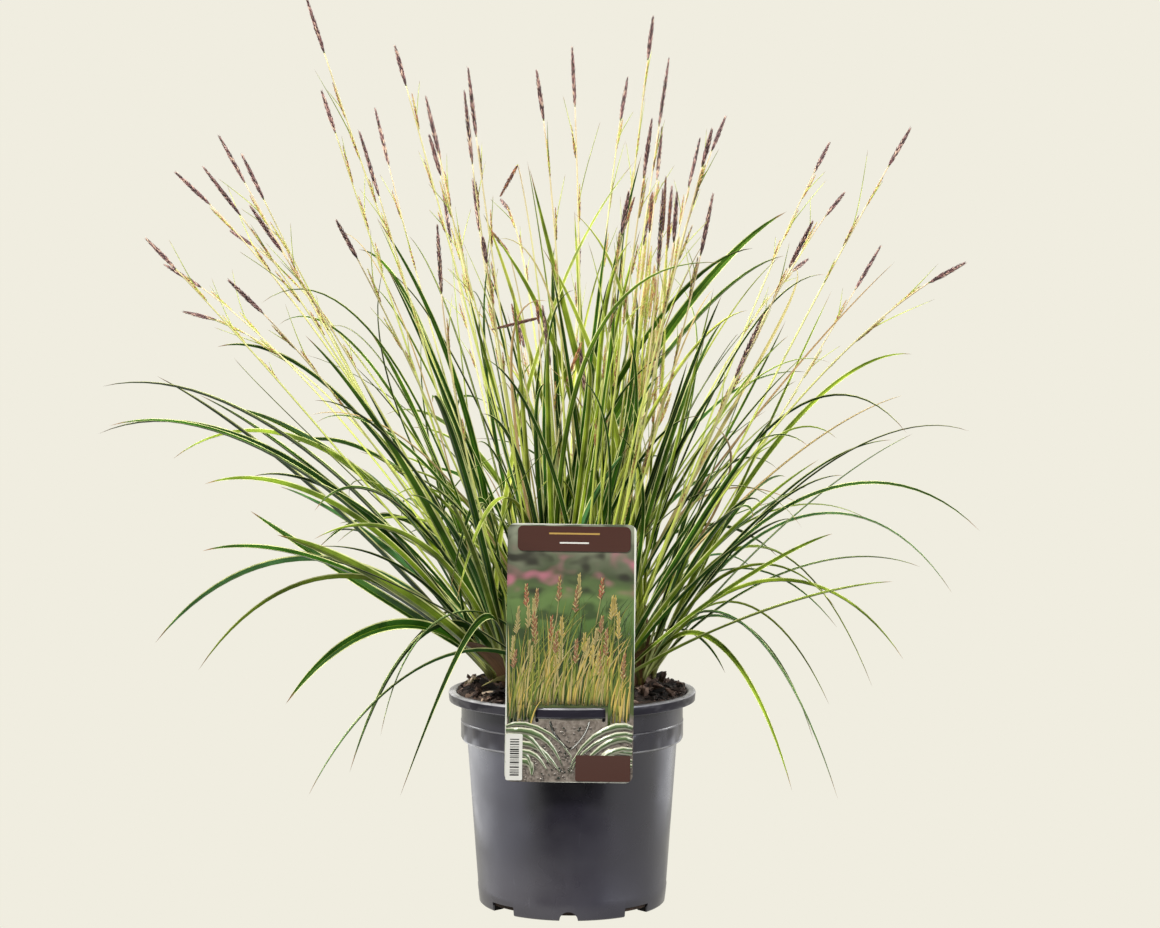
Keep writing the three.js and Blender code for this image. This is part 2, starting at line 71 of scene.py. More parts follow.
# The tip of each flowering stem: x, y, z and how far the stem arches over its chord.
STEM_TIPS = [
    (-180, 0, 618, -20), (-170, 0, 555, 0), (-140, -55, 525, 0), (-145, 135, 555, -15),
    (-240, 0, 525, 0), (-230, 40, 515, -10), (-240, -75, 500, 20), (-270, 0, 500, 35),
    (-195, -185, 470, 10), (-255, 160, 465, 45), (-290, 0, 455, 10), (-300, 130, 440, 35),
    (-210, -175, 425, 25), (-285, 125, 405, 50), (-140, -210, 460, 15), (-120, 0, 585, 5),
    (-75, -120, 560, -20), (-105, 90, 560, -10), (-95, -95, 520, 25), (-105, 155, 550, -10),
    (-70, -70, 550, -5), (-100, 215, 500, -15), (-75, -215, 450, -5), (-75, 170, 505, -25),
    (-30, -130, 555, 0), (-55, 210, 490, 70), (0, 0, 585, 0), (40, 120, 575, 10),
    (55, 0, 605, 10), (70, 115, 590, -15), (50, -150, 525, 12), (65, 105, 540, -5),
    (55, -215, 480, -8), (75, 195, 500, 0), (65, -170, 475, -10), (60, 215, 495, -8),
    (40, -195, 475, 20), (5, 215, 460, 8), (-50, -215, 455, 30), (-45, 215, 410, 8),
    (-20, -60, 410, 0), (110, 100, 545, 25), (85, -190, 515, 22), (95, 165, 535, 12),
    (85, -175, 480, 5), (190, 150, 530, 30), (230, 0, 530, 12), (195, 95, 490, 32),
    (145, -205, 460, 20), (230, 160, 455, -5), (240, -180, 435, 40), (180, 215, 445, 45),
    (115, -215, 405, -5), (70, 215, 385, -15), (5, -45, 385, 8), (15, 215, 330, 60),
]

# The tips of the long leaves that make the outline, in the same form.
LEAF_TIPS = [
    (-290, 40, 360, 20), (-315, -30, 355, 60), (-330, 30, 320, 65), (-305, -60, 330, 55),
    (-285, 70, 300, 75), (-235, -110, 295, 45), (-265, 60, 385, 65), (-200, -130, 405, 80),
    (-215, 120, 395, 80), (-170, -100, 390, 25), (-155, 110, 450, 65), (-210, 80, 280, 20),
    (-185, -140, 265, 15), (-240, -90, 250, 30), (-235, 110, 260, 0), (-290, 20, 175, 70),
    (-240, -110, 175, 65), (-190, -60, 145, 45), (-145, -90, 105, 65), (-270, 100, 345, 20),
    (-160, -150, 350, 45), (240, 60, 375, 55), (220, -70, 325, 90), (225, 50, 315, 35),
    (270, -60, 260, 75), (270, 60, 205, 83), (215, -100, 180, 60), (215, 70, 135, 95),
    (175, -80, 85, 80), (180, 30, 130, 60), (145, -80, 90, 62), (110, 80, 145, 30),
    (175, -100, 300, 32), (150, 120, 290, 55), (150, -130, 320, 60), (185, 90, 420, -12),
    (90, -120, 420, 0), (150, 70, 445, 58, 205), (120, -90, 445, 62, 160),
    (145, 30, 475, 55, 190), (45, -20, 510, 30, 190), (-30, -40, 505, 25, 330),
    (0, 60, 478, 30, 30), (-55, -60, 470, 35, 350), (115, -60, 360, 0), (-78, -112, 225, 90),
]

# Ranges of the leaves between the listed ones, as (least, spread).
FILL = dict(
    upright=dict(fan=250, reach=(20, 180), height=(300, 210), fall=0.45, rise=(0, 55)),
    stiff=dict(fan=95, reach=(80, 170), height=(340, 130), fall=0.45, rise=(5, 40)),
    arching=dict(fan=85, reach=(170, 130), height=(205, 160), fall=0, rise=(20, 45)),
    drooping=dict(fan=80, reach=(130, 90), height=(90, 110), fall=0, rise=(50, 25)),
)
OUTER_MIX = [("drooping", 0.05), ("arching", 0.45), ("stiff", 1)]
UPRIGHT = 0.4
TUFT_RINGS = [(5, 22, 20), (10, 53, 8)]  # how many, how far out, and the turn of the first one
GROUP_RINGS = [(4, 8, 50), (10, 37.5, 26)]
TRIES = dict(listed=400, drawn=250)
# How far leaves and stems keep from the soil, the rim and the label, and how closely it is tried.
CLEAR = dict(step=4, soil=1.5, rim=3, over_rim=2, before_label=4, beside_label=5, over_label=5)

INNER_WALL = dict(
    foot=POT["foot_radius"] - POT["wall"], body=POT["body_radius"] - POT["wall"],
    collar=POT["collar_radius"] - POT["wall"], ledge=POT["step_height"] + POT["wall"],
)
SOIL_RADIUS = POT["mouth_radius"]

# ---- where the leaves and stems run: the same rule and the same draws as the solids ----


def draws(seed):
    """A seeded source of numbers from 0 to 1."""
    state = (seed * 2654435761) % 4294967296

    def draw():
        nonlocal state
        state = (state * 1664525 + 1013904223) % 4294967296
        return state / 4294967296

    draw()
    draw()
    return draw


def polar(radius, degrees, z=0.0):
    turn = math.radians(degrees)
    return np.array([radius * math.cos(turn), radius * math.sin(turn), z])


def unit(vector):
    return vector / np.linalg.norm(vector)


def units(rows):
    return rows / np.linalg.norm(rows, axis=1)[:, None]


def clamped(share):
    return min(1, max(0, share))


def soil_top(r):
    return SOIL["crown"] - (SOIL["crown"] - SOIL["edge"]) * (r / SOIL_RADIUS) ** 2


def wall_at(z):
    """The inner wall's radius near the mouth, where it flares."""
    share = (min(z, POT["height"]) - POT["height"] + POT["flare"]) / POT["flare"]
    return INNER_WALL["collar"] + (POT["mouth_radius"] - INNER_WALL["collar"]) * max(0, share)


def lump(x, y):
    """Lumps in the soil's surface, a few centimetres apart."""
    waves = math.sin(0.21 * x + 1.3) * math.cos(0.19 * y) + 0.8 * math.sin(0.37 * y - 0.29 * x)
    return SOIL["relief"] * waves


def feet_of(rings, form):
    feet = []
    for ring, (count, radius, turn) in enumerate(rings):
        for i in range(count):
            draw = draws(1000 * ring + 37 * i + 5)
            reach = radius + 4 * draw() - 2
            centre = polar(reach, turn + (360 / count) * i + 8 * draw() - 4)
            feet.append(dict(
                ring=ring, form=form, centre=centre, level=soil_top(np.linalg.norm(centre)),
                azimuth=math.atan2(centre[1], centre[0]), pieces=[],
            ))
    return feet


def foot_for(feet, row):
    x, y, z, _, *start = row
    ring = 0 if math.hypot(x, y) < UPRIGHT * (z - SOIL["crown"]) else 1
    towards = math.radians(start[0]) if start else math.atan2(y, x)
    near = [foot for foot in feet if foot["ring"] == ring]
    return min(near, key=lambda foot: 1 - math.cos(foot["azimuth"] - towards))


def course(foot, route):
    """The four control points of the curve from a foot to a tip, and its sideways direction."""
    centre, form, tip = foot["centre"], foot["form"], route["tip"]
    out = unit(np.array([tip[0] - centre[0], tip[1] - centre[1], 0.0]))
    side = np.array([-out[1], out[0], 0.0])
    steepness = max(0, (tip[2] - SOIL["crown"]) / np.linalg.norm(tip - centre))
    start = centre + out * form["spread"] * (1 - 0.8 * steepness)
    start[2] = soil_top(np.linalg.norm(start)) + form["start"]

    def along(share, sideways):
        return start + (tip - start) * share + side * sideways + UP * (4 / 3) * route["rise"]

    bow = route["bow"]
    return np.array([start, along(0.25, 0.5 * bow), along(0.7, bow), tip]), side


def on_curve(control, shares):
    t = np.asarray(shares, dtype=float)[:, None]
    a, b, c, d = control
    return (1 - t) ** 3 * a + 3 * (1 - t) ** 2 * t * b + 3 * (1 - t) * t * t * c + t ** 3 * d


def directions(points):
    """Unit directions along a row of points."""
    return units(np.gradient(points, axis=0))


def chain(points, radii):
    """The straight segments through a row of points, each with its wider end's radius."""
    radii = np.asarray(radii, dtype=float)
    return dict(start=points[:-1], end=points[1:], radius=np.maximum(radii[:-1], radii[1:]))


def distances(a, b):
    """Distances between every segment of a and every segment of b."""
    da, db = (a["end"] - a["start"])[:, None, :], (b["end"] - b["start"])[None, :, :]
    between = a["start"][:, None, :] - b["start"][None, :, :]
    aa, bb, ab = (da * da).sum(2), (db * db).sum(2), (da * db).sum(2)
    ac, bc = (da * between).sum(2), (db * between).sum(2)
    spread = aa * bb - ab * ab
    level = spread > 1e-9
    s = np.where(level, np.clip((ab * bc - ac * bb) / np.where(level, spread, 1), 0, 1), 0)
    t = np.clip((ab * s + bc) / bb, 0, 1)
    s = np.clip((ab * t - ac) / aa, 0, 1)
    return np.linalg.norm(between + da * s[..., None] - db * t[..., None], axis=2)


def blocked(segments):
    """Whether the soil, the pot's rim, or the label with the space before it is in the way."""
    for start, end, radius in zip(segments["start"], segments["end"], segments["radius"]):
        steps = math.ceil(np.linalg.norm(end - start) / CLEAR["step"])
        p = start + (end - start) * (np.arange(steps + 1) / steps)[:, None]
        r, low = np.hypot(p[:, 0], p[:, 1]), p[:, 2] - radius
        in_soil = (r < SOIL_RADIUS) & (low < soil_top(r) + CLEAR["soil"])
        at_rim = (r >= INNER_WALL["body"]) & (r < POT["rim_radius"] + radius + CLEAR["rim"])
        at_rim &= low < POT["height"] + CLEAR["over_rim"]
        at_label = p[:, 1] < LABEL["y"] + radius + CLEAR["before_label"]
        beside = LABEL["width"] / 2 + radius + CLEAR["beside_label"]
        at_label &= np.abs(p[:, 0] - LABEL["x"]) < beside
        at_label &= low < LABEL["bottom"] + LABEL["height"] + CLEAR["over_label"]
        if (in_soil | at_rim | at_label).any():
            return True
    return False


class Standing:
    """The segments of all that is placed, each with its foot."""

    def __init__(self):
        self.start, self.end = np.zeros((0, 3)), np.zeros((0, 3))
        self.radius, self.foot, self.low = np.zeros(0), np.zeros(0, int), np.zeros(0, bool)

    def add(self, segments, foot, low):
        count = len(segments["radius"])
        self.start = np.vstack([self.start, segments["start"]])
        self.end = np.vstack([self.end, segments["end"]])
        self.radius = np.append(self.radius, segments["radius"])
        self.foot = np.append(self.foot, np.full(count, foot["number"]))
        self.low = np.append(self.low, low)

    def clear_of(self, foot, segments):
        """Near its foot a piece may touch the foot's other pieces, elsewhere it touches none."""
        if blocked(segments):
            return False
        apart = distances(segments, dict(start=self.start, end=self.end))
        far = apart > segments["radius"][:, None] + self.radius[None, :] + GAP
        same = (self.foot == foot["number"])[None, :]
        first = (np.arange(len(segments["radius"])) == 0)[:, None]
        return bool((far | (same & (first | self.low[None, :]))).all())


def place(standing, foot, attempts, candidate):
    for attempt in range(attempts):
        piece = candidate(attempt)
        if standing.clear_of(foot, piece["segments"]):
            count = len(piece["segments"]["radius"])
            standing.add(piece["segments"], foot, np.arange(count) == 0)
            foot["pieces"].append(piece)
            return


def nudged(row, draw, attempt):
    """A listed tip, moved a little further from its place with each attempt."""

    def move(reach):
        return (draw() * 2 - 1) * reach * min(1, attempt / 40)

    x, y, z, rise, *_ = row
    tip = np.array([x + move(12), y + move(60), z + move(12)])
    rise += move(15)
    bow = 12 * (draw() * 2 - 1) + move(20)
    return dict(tip=tip, rise=rise, bow=bow)


def drawn(foot, k, draw):
    """A tip drawn for a leaf between the listed ones, the k-th of its tuft."""
    mix = draw()
    outer = next(name for name, share in OUTER_MIX if mix < share)
    kind = FILL["upright" if foot["ring"] == 0 else outer]

    def pick(span):
        return span[0] + span[1] * draw()

    share = (0.618 * k + 0.25 * draw()) % 1
    azimuth = math.degrees(foot["azimuth"]) + kind["fan"] * (share - 0.5)
    reach = pick(kind["reach"])
    tip = polar(reach, azimuth, pick(kind["height"]) - kind["fall"] * reach)
    rise = pick(kind["rise"])
    return dict(tip=tip, rise=rise, bow=70 * (draw() - 0.5))


def blade_of(draw, least, spread):
    """A blade's half width, and how far it is rolled at its foot and twisted up to its tip."""
    half_width = least + spread * draw()
    roll = LEAF["roll"] * (draw() - 0.5)
    return dict(half_width=half_width, roll=roll, twist=LEAF["twist"] * (draw() - 0.5))


def leaf_piece(foot, route, form):
    control, side = course(foot, route)
    points = on_curve(control, LEAF["stations"])
    segments = chain(points, [share * form["half_width"] for share in LEAF["widths"]])
    return dict(control=control, side=side, segments=segments, **form)


def stem_piece(foot, route, spike_length, draw):
    control, side = course(foot, route)
    steps = np.diff(on_curve(control, np.linspace(0, 1, 201)), axis=0)
    length = np.linalg.norm(steps, axis=1).sum()
    neck = 1 - spike_length / length
    rings = [(0, STEM["radius"]), (STEM["bend"], STEM["radius"])]
    females = []
    for apart in FEMALE["apart"]:
        top = neck - (apart + FEMALE["stray"] * draw()) / length
        rings.append((top - FEMALE["length"] / length, STEM["radius"]))
        rings.append((top - FEMALE["widest"] * FEMALE["length"] / length, FEMALE["radius"]))
        rings.append((top, STEM["neck"]))
        females.append(top)
    rings.append((neck, STEM["neck"]))
    points = np.vstack([on_curve(control, [t for t, _ in rings]), route["tip"]])
    segments = chain(points, [radius for _, radius in rings] + [SPIKE["radius"]])
    return dict(
        control=control, side=side, segments=segments, length=length, neck=neck, females=females,
    )


tufts = feet_of(TUFT_RINGS, TUFT_FOOT)
groups = feet_of(GROUP_RINGS, GROUP_FOOT)


def plant():
    standing = Standing()
    for number, foot in enumerate([*tufts, *groups]):
        foot["number"] = number
        low = foot["centre"] + UP * (foot["level"] - foot["form"]["depth"])
        high = foot["centre"] + UP * (foot["level"] + foot["form"]["height"])
        radius = np.array([foot["form"]["radius"]])
        standing.add(dict(start=low[None], end=high[None], radius=radius), foot, np.array([True]))
    for i, row in enumerate(STEM_TIPS):
        foot, draw = foot_for(groups, row), draws(7919 * i + 11)
        spike = SPIKE["length"][0] + SPIKE["length"][1] * draw()
        place(standing, foot, TRIES["listed"], lambda attempt: stem_piece(
            foot, nudged(row, draw, attempt), spike, draw))
    for i, row in enumerate(LEAF_TIPS):
        foot, draw = foot_for(tufts, row), draws(6007 * i + 17)
        form = blade_of(draw, *LEAF["listed"])
        place(standing, foot, TRIES["listed"], lambda attempt: leaf_piece(
            foot, nudged(row, draw, attempt), form))
    for i, foot in enumerate(tufts):
        for k in range(len(foot["pieces"]), LEAF["per_tuft"]):
            draw = draws(4001 * i + 131 * k + 23)
            form = blade_of(draw, *LEAF["filled"])
            place(standing, foot, TRIES["drawn"], lambda attempt: leaf_piece(
                foot, drawn(foot, k, draw), form))


plant()

# ---- mesh tools ----


def mesh_of(bm, name):
    mesh = bpy.data.meshes.new(name)
    bm.to_mesh(mesh)
    bm.free()
    return mesh


def in_scene(name, data):
    thing = bpy.data.objects.new(name, data)
    bpy.context.scene.collection.objects.link(thing)
    return thing


class Form:
    """A unit shape that is copied many times, with its corners as an array."""

    def __init__(self, bm, name):
        self.mesh = mesh_of(bm, name)
        self.corners = np.array([vert.co for vert in self.mesh.vertices])


def new_piece_mesh():
    bm = bmesh.new()
    bm.verts.layers.float.new("tone")
    bm.loops.layers.uv.new("UVMap")
    return bm


def add_mesh(bm, mesh, tone, material=0):
    """Adds a mesh in one tone and material, and gives its corners."""
    first, first_face = len(bm.verts), len(bm.faces)
    bm.from_mesh(mesh)
    bm.verts.ensure_lookup_table()
    bm.faces.ensure_lookup_table()
    layer, corners = bm.verts.layers.float["tone"], bm.verts[first:]
    for vert in corners:
        vert[layer] = tone
    for face in bm.faces[first_face:]:
        face.material_index = material
    return corners


def add_copy(bm, form, places, tone, material=0):
    """Adds a copy of a form with its corners at these places, in millimetres."""
    for vert, place_of_it in zip(add_mesh(bm, form.mesh, tone, material), places * MM):
        vert.co = place_of_it


def smooth_piece(piece, angle):
    piece.data.shade_smooth()
    piece.data.set_sharp_from_angle(angle=math.radians(angle))


def finished(bm, name, materials, nodes=()):
    """The mesh as a piece of the object, riding on its one body."""
    piece = in_scene(name, mesh_of(bm, name))
    for material in materials:
        piece.data.materials.append(material)
    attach(piece, "root")
    if nodes:
        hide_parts(*nodes)
    return piece


def parts_of(grown, kind):
    """The corners or edges that an extrude has added."""
    return [part for part in grown["geom"] if isinstance(part, kind)]


def tube(sides, steps, name, creases=(), pointed=False):
    """A closed unit tube along Z, its round section extruded in steps, with an across-along UV."""
    bm = bmesh.new()
    bmesh.ops.create_circle(bm, cap_ends=True, segments=sides, radius=1)
    edges = bm.edges[:]
    for _ in range(steps):
        grown = bmesh.ops.extrude_edge_only(bm, edges=edges)
        edges, ring = parts_of(grown, BMEdge), parts_of(grown, BMVert)
        bmesh.ops.translate(bm, verts=ring, vec=(0, 0, 1 / steps))
    if pointed:
        bmesh.ops.pointmerge(bm, verts=ring, merge_co=(0, 0, 1))
    else:
        bmesh.ops.contextual_create(bm, geom=edges)
    bmesh.ops.recalc_face_normals(bm, faces=bm.faces)
    uv = bm.loops.layers.uv.new("UVMap")
    for face in bm.faces:
        face.smooth = True
        for loop in face.loops:
            loop[uv].uv = ((loop.vert.co.x + 1) / 2, loop.vert.co.z)
    for edge in bm.edges:
        a, b = edge.verts
        if abs(a.co.z - b.co.z) > 1e-6 and any(abs(a.co.x - x) < 0.01 for x in creases):
            edge.smooth = False
    return Form(bm, name)


def rings_along(control, shares, side, roll=0.0, twist=0.0):
    """Centres and frames at these shares of a curve: across, up."""
    centres = on_curve(control, shares)
    along = directions(centres)
    turn = np.radians(roll + twist * np.asarray(shares))[:, None]
    dot = (along * side).sum(1)[:, None]
    across = side * np.cos(turn) + np.cross(along, side) * np.sin(turn)
    across = across + along * dot * (1 - np.cos(turn))
    up = units(np.cross(along, across))
    return centres, np.cross(up, along), up


def bent(form, rings, width, lift):
    """A tube form's corners, bent along rings: width at each ring, lift(x, y, ring) over it."""
    centres, across, up = rings
    x, y, z = form.corners.T
    ring = np.rint(z * (len(centres) - 1)).astype(int)
    sideways = across[ring] * (width[ring] * x)[:, None]
    return centres[ring] + sideways + up[ring] * lift(x, y, ring)[:, None]


# ---- finishes ----


def srgb(red, green, blue):
    """A colour given as 0 to 255 steps, as linear light."""
    def linear(step):
        share = step / 255
        return share / 12.92 if share <= 0.04045 else ((share + 0.055) / 1.055) ** 2.4
    return (linear(red), linear(green), linear(blue), 1.0)


def grey(light):
    return (light, light, light, 1.0)


class Finish:
    """A material, wired up by short calls that give the sockets."""

    def __init__(self, name, roughness, **sockets):
        self.material = bpy.data.materials.new(name)
        self.material.use_nodes = True
        self.tree = self.material.node_tree
        self.shader = self.tree.nodes["Principled BSDF"]
        self.shader.inputs["Roughness"].default_value = roughness
        for socket, value in sockets.items():
            self.shader.inputs[socket.replace("_", " ")].default_value = value

    def add(self, kind, inputs, out=0, **settings):
        node = self.tree.nodes.new("ShaderNode" + kind)
        for setting, value in settings.items():
            setattr(node, setting, value)
        for socket, value in inputs.items():
            if isinstance(value, bpy.types.NodeSocket):
                self.tree.links.new(value, node.inputs[socket])
            else:
                node.inputs[socket].default_value = value
        return node.outputs[out]

    def number(self, operation, a, b=0.0):
        return self.add("Math", {0: a, 1: b}, operation=operation)

    def times(self, a, b):
        return self.number("MULTIPLY", a, b)

    def off(self, value, centre):
        """How far the value is from a centre."""
        return self.number("ABSOLUTE", self.number("SUBTRACT", value, centre))

    def between(self, value, low, high, to_low=0.0, to_high=1.0):
        """The value's smooth rise from low to high."""
        inputs = {0: value, 1: low, 2: high, 3: to_low, 4: to_high}
        return self.add("MapRange", inputs, interpolation_type="SMOOTHSTEP")

    def mix(self, share, a, b, blend="MIX"):
        return self.add("Mix", {0: share, 6: a, 7: b}, out=2, data_type="RGBA", blend_type=blend)

    def over(self, base, colour, value, low, high, most=1.0):
        """The base with a colour over it, the more so as the value goes from low to high."""
        return self.mix(self.between(value, low, high, 0.0, most), base, colour)

    def ramp(self, share, stops, stepped=False):
        socket = self.add("ValToRGB", {0: share})
        ramp = socket.node.color_ramp
        ramp.interpolation = "CONSTANT" if stepped else "LINEAR"
        while len(ramp.elements) < len(stops):
            ramp.elements.new(0.5)
        for element, (position, colour) in zip(ramp.elements, stops):
            element.position = position
            element.color = colour
        return socket

    def shade(self, base, texture, low, high):
        """The base times a tint that goes with the texture, from one stop to another."""
        return self.mix(1.0, base, self.ramp(texture, [low, high]), blend="MULTIPLY")

    def place(self, stretch=(1, 1, 1), shift=(0, 0, 0), uv=False):
        source = self.add("TexCoord", {}, out=2 if uv else 3)
        return self.add("Mapping", {0: source, 1: shift, 3: stretch})

    def axes(self, vector):
        self.add("SeparateXYZ", {0: vector})
        return self.tree.nodes[-1].outputs

    def across_along(self):
        """The shares across and along a strand, by its UV."""
        return self.axes(self.place(uv=True))[:2]

    def noise(self, vector, scale, detail=2.0, roughness=0.5):
        inputs = {"Vector": vector, "Scale": scale, "Detail": detail, "Roughness": roughness}
        return self.add("TexNoise", inputs)

    def grain(self, stretch, detail, roughness=0.5, uv=True):
        """Noise with its own number of waves each way."""
        return self.noise(self.place(stretch=stretch, uv=uv), 1.0, detail, roughness)

    def tone(self):
        """The tone that each leaf, scale, seed, chip or inked shape has of its own."""
        return self.add("Attribute", {}, out=2, attribute_name="tone")

    def bump(self, height, strength, distance):
        inputs = {"Height": height, "Strength": strength, "Distance": distance}
        self.wire("Normal", self.add("Bump", inputs))

    def wire(self, socket, value):
        self.tree.links.new(value, self.shader.inputs[socket])


DEEP_GREEN = srgb(16, 44, 10)
LEAF_GREEN = srgb(46, 90, 17)
BLUE_GREEN = srgb(74, 124, 74)
FRESH_GREEN = srgb(136, 160, 44)
LIME = srgb(206, 216, 96)
CREAM_EDGE = srgb(226, 230, 158)
STRAW = srgb(196, 172, 112)
DRY_BROWN = srgb(134, 98, 66)


def leaf_finish():
    """Veined green with a pale rib and margins, a pale foot that is partly painted light and a dry
    tip, under painted dappled light and shade, one half of each blade in painted shade.
    """
    leaf = Finish("sedge leaf", 0.4, Specular_IOR_Level=0.08)
    across, along = leaf.across_along()
    green = leaf.ramp(leaf.tone(), [
        (0.0, DEEP_GREEN), (0.3, LEAF_GREEN), (0.5, BLUE_GREEN), (0.56, LEAF_GREEN),
        (0.75, FRESH_GREEN), (1.0, LIME),
    ])
    streaks = leaf.grain((34, 1.6, 1), 3)
    body = leaf.shade(green, streaks, (0.32, grey(0.52)), (0.68, grey(1.4)))
    # Painted dappled light and shade: broad lighter and darker patches over all the leaves; the
    # pale margins below show more in the light patches.
    drift = leaf.noise(leaf.place(), 26.0, 3, 0.6)
    body = leaf.shade(body, drift, (0.36, srgb(144, 152, 132)), (0.64, (1.24, 1.2, 1.18, 1)))
    # Painted shade: one half of each blade darker, as if its fold turned that half from the light.
    body = leaf.over(body, srgb(30, 54, 14), across, 0.48, 0.52, 0.36)
    off_rib = leaf.off(across, 0.5)
    margin = leaf.times(leaf.between(off_rib, 0.38, 0.44), leaf.between(drift, 0.4, 0.6, 0.45, 1.0))
    body = leaf.mix(margin, body, CREAM_EDGE)
    body = leaf.over(body, FRESH_GREEN, off_rib, 0.035, 0.015, 0.35)
    # The pale foot of each blade is its own colour, made stronger as painted light where little
    # light reaches the foot of the tufts.
    body = leaf.over(body, srgb(188, 194, 124), along, 0.18, 0.0, 0.8)
    ragged = leaf.number("ADD", along, leaf.times(streaks, 0.04))
    leaf.wire("Base Color", leaf.over(body, DRY_BROWN, ragged, 0.965, 1.0, 0.85))
    leaf.wire("Roughness", leaf.between(streaks, 0.2, 0.8, 0.38, 0.56))
    leaf.bump(leaf.grain((60, 0.8, 1), 1), 0.35, 0.0003)
    return leaf.material


def sheath_finish():
    """Fibrous brown to straw, darker at its foot."""
    sheath = Finish("dry leaf sheath", 0.75)
    fibres = sheath.grain((30, 1.5, 1), 4, 0.7)
    old = sheath.ramp(sheath.tone(), [
        (0.0, srgb(74, 50, 34)), (0.4, DRY_BROWN), (0.7, STRAW), (1.0, srgb(150, 160, 92)),
    ])
    worn = sheath.shade(old, fibres, (0.3, grey(0.45)), (0.7, grey(1.3)))
    along = sheath.across_along()[1]
    sheath.wire("Base Color", sheath.over(worn, srgb(60, 40, 28), along, 0.25, 0.0, 0.6))
    sheath.bump(fibres, 0.6, 0.0004)
    return sheath.material


def stem_finish():
    """Yellow-green, paler and pinker towards the head, with fine lines."""
    stem = Finish("flowering stem", 0.45)
    green = stem.ramp(stem.across_along()[1], [
        (0.0, srgb(150, 162, 76)), (0.15, srgb(176, 194, 70)), (0.5, srgb(200, 210, 98)),
        (0.75, srgb(212, 206, 146)), (1.0, srgb(208, 184, 150)),
    ])
    toned = stem.over(green, srgb(152, 166, 66), stem.tone(), 0.5, 1.0, 0.5)
    lines = stem.grain((20, 1.2, 1), 2)
    stem.wire("Base Color", stem.shade(toned, lines, (0.3, grey(0.75)), (0.7, grey(1.15))))
    stem.bump(lines, 0.3, 0.0002)
    return stem.material


SCALE_TONES = [(0.0, srgb(34, 18, 24)), (0.35, srgb(70, 40, 46)), (0.6, srgb(118, 76, 78)),
               (0.8, srgb(168, 130, 126)), (1.0, srgb(208, 180, 156))]
SEED_TONES = [(0.0, srgb(178, 192, 72)), (0.3, srgb(208, 204, 116)), (0.55, srgb(206, 164, 106)),
              (0.75, srgb(174, 104, 68)), (1.0, srgb(88, 46, 44))]


def head_finish(name, roughness, tones, tip, most):
    """Scales or seeds, each in its own tone and with another colour at its tip."""
    head = Finish(name, roughness)
    body = head.ramp(head.tone(), tones)
    head.wire("Base Color", head.over(body, tip, head.across_along()[1], 0.6, 1.0, most))
    return head.material


# Painted highlight lines along the pot's edges: their height, the line's half width and how strong
# it is.
PAINTED_EDGE_HIGHLIGHTS = [(POT["step_height"] + 0.5, 0.9, 0.75), (POT["ridge"], 0.8, 0.3),
              (POT["height"] - 0.4, 0.9, 0.85), (POT["height"] - POT["rim_band"], 0.8, 0.3)]


def pot_finish():
    """Satin black plastic with a painted reflection paler low on the left, painted highlight lines
    along its edges and painted shade under its foot.
    """
    pot = Finish("black nursery plastic", 0.3, Specular_Tint=(0.86, 0.88, 1.0, 1.0))
    at = pot.place()
    x, y, z = pot.axes(at)
    clouds = pot.noise(at, 9.0, 4, 0.6)
    body = pot.ramp(clouds, [(0.3, srgb(26, 24, 32)), (0.7, srgb(37, 35, 46))])
    # Painted reflection: the bright floor's glow, painted as a paler colour low down on the left
    # side.
    painted_floor_glow = pot.times(pot.between(z, 0.055, 0.018, 0.0, 0.23), pot.between(x, 0.03, -0.02))
    body = pot.mix(painted_floor_glow, body, srgb(98, 96, 102))
    scratches = pot.grain((260, 260, 24), 5, 0.7, uv=False)
    body = pot.over(body, srgb(96, 96, 106), scratches, 0.62, 0.75, 0.28)
    patchy = pot.between(pot.noise(at, 26.0, 3, 0.6), 0.35, 0.65, 0.3, 1.0)
    # Painted highlights: pale lines along the step, the ridge and both edges of the rim band,
    # broken into patches.
    for level, width, strength in PAINTED_EDGE_HIGHLIGHTS:
        line = pot.between(pot.off(z, level * MM), width * MM, 0.3 * width * MM, 0.0, strength)
        body = pot.mix(pot.times(line, patchy), body, srgb(182, 182, 188))
    # Painted shade: near black in the hollow under the foot and in its notches, with less gloss
    # there too.
    reach = pot.number("SQRT", pot.number("ADD", pot.times(x, x), pot.times(y, y)))
    foot, notch = POT["foot_radius"], NOTCH["height"]
    inward = pot.between(reach, (foot - 0.9) * MM, (foot - 1.6) * MM)
    under = pot.times(inward, pot.between(z, (notch + 1.2) * MM, notch * MM))
    pot.wire("Base Color", pot.mix(under, body, srgb(16, 13, 12)))

    lip, top, step = (POT["height"] - POT["rim_band"]) * MM, POT["height"] * MM, POT["step_height"]
    band = pot.times(pot.between(z, lip - 0.0002, lip + 0.0004),
                     pot.between(z, top - 0.0006, top - 0.0014))
    dull = pot.between(pot.grain((34, 34, 90), 3, 0.6, uv=False), 0.5, 0.62, 0.7, 0.0)
    shiny = pot.times(pot.between(under, 0.0, 1.0, 0.75, 0.05),
                      pot.between(z, (step - 1) * MM, (step + 1) * MM, 1.0, 0.76))
    gloss = pot.times(shiny, pot.number("SUBTRACT", 1.0, pot.times(band, dull)))
    pot.wire("Specular IOR Level", gloss)
    pot.wire("Roughness", pot.between(pot.noise(at, 30.0, 3), 0.3, 0.7, 0.24, 0.38))
    pot.bump(pot.noise(at, 420.0, 3), 0.06, 0.0004)
    return pot.material


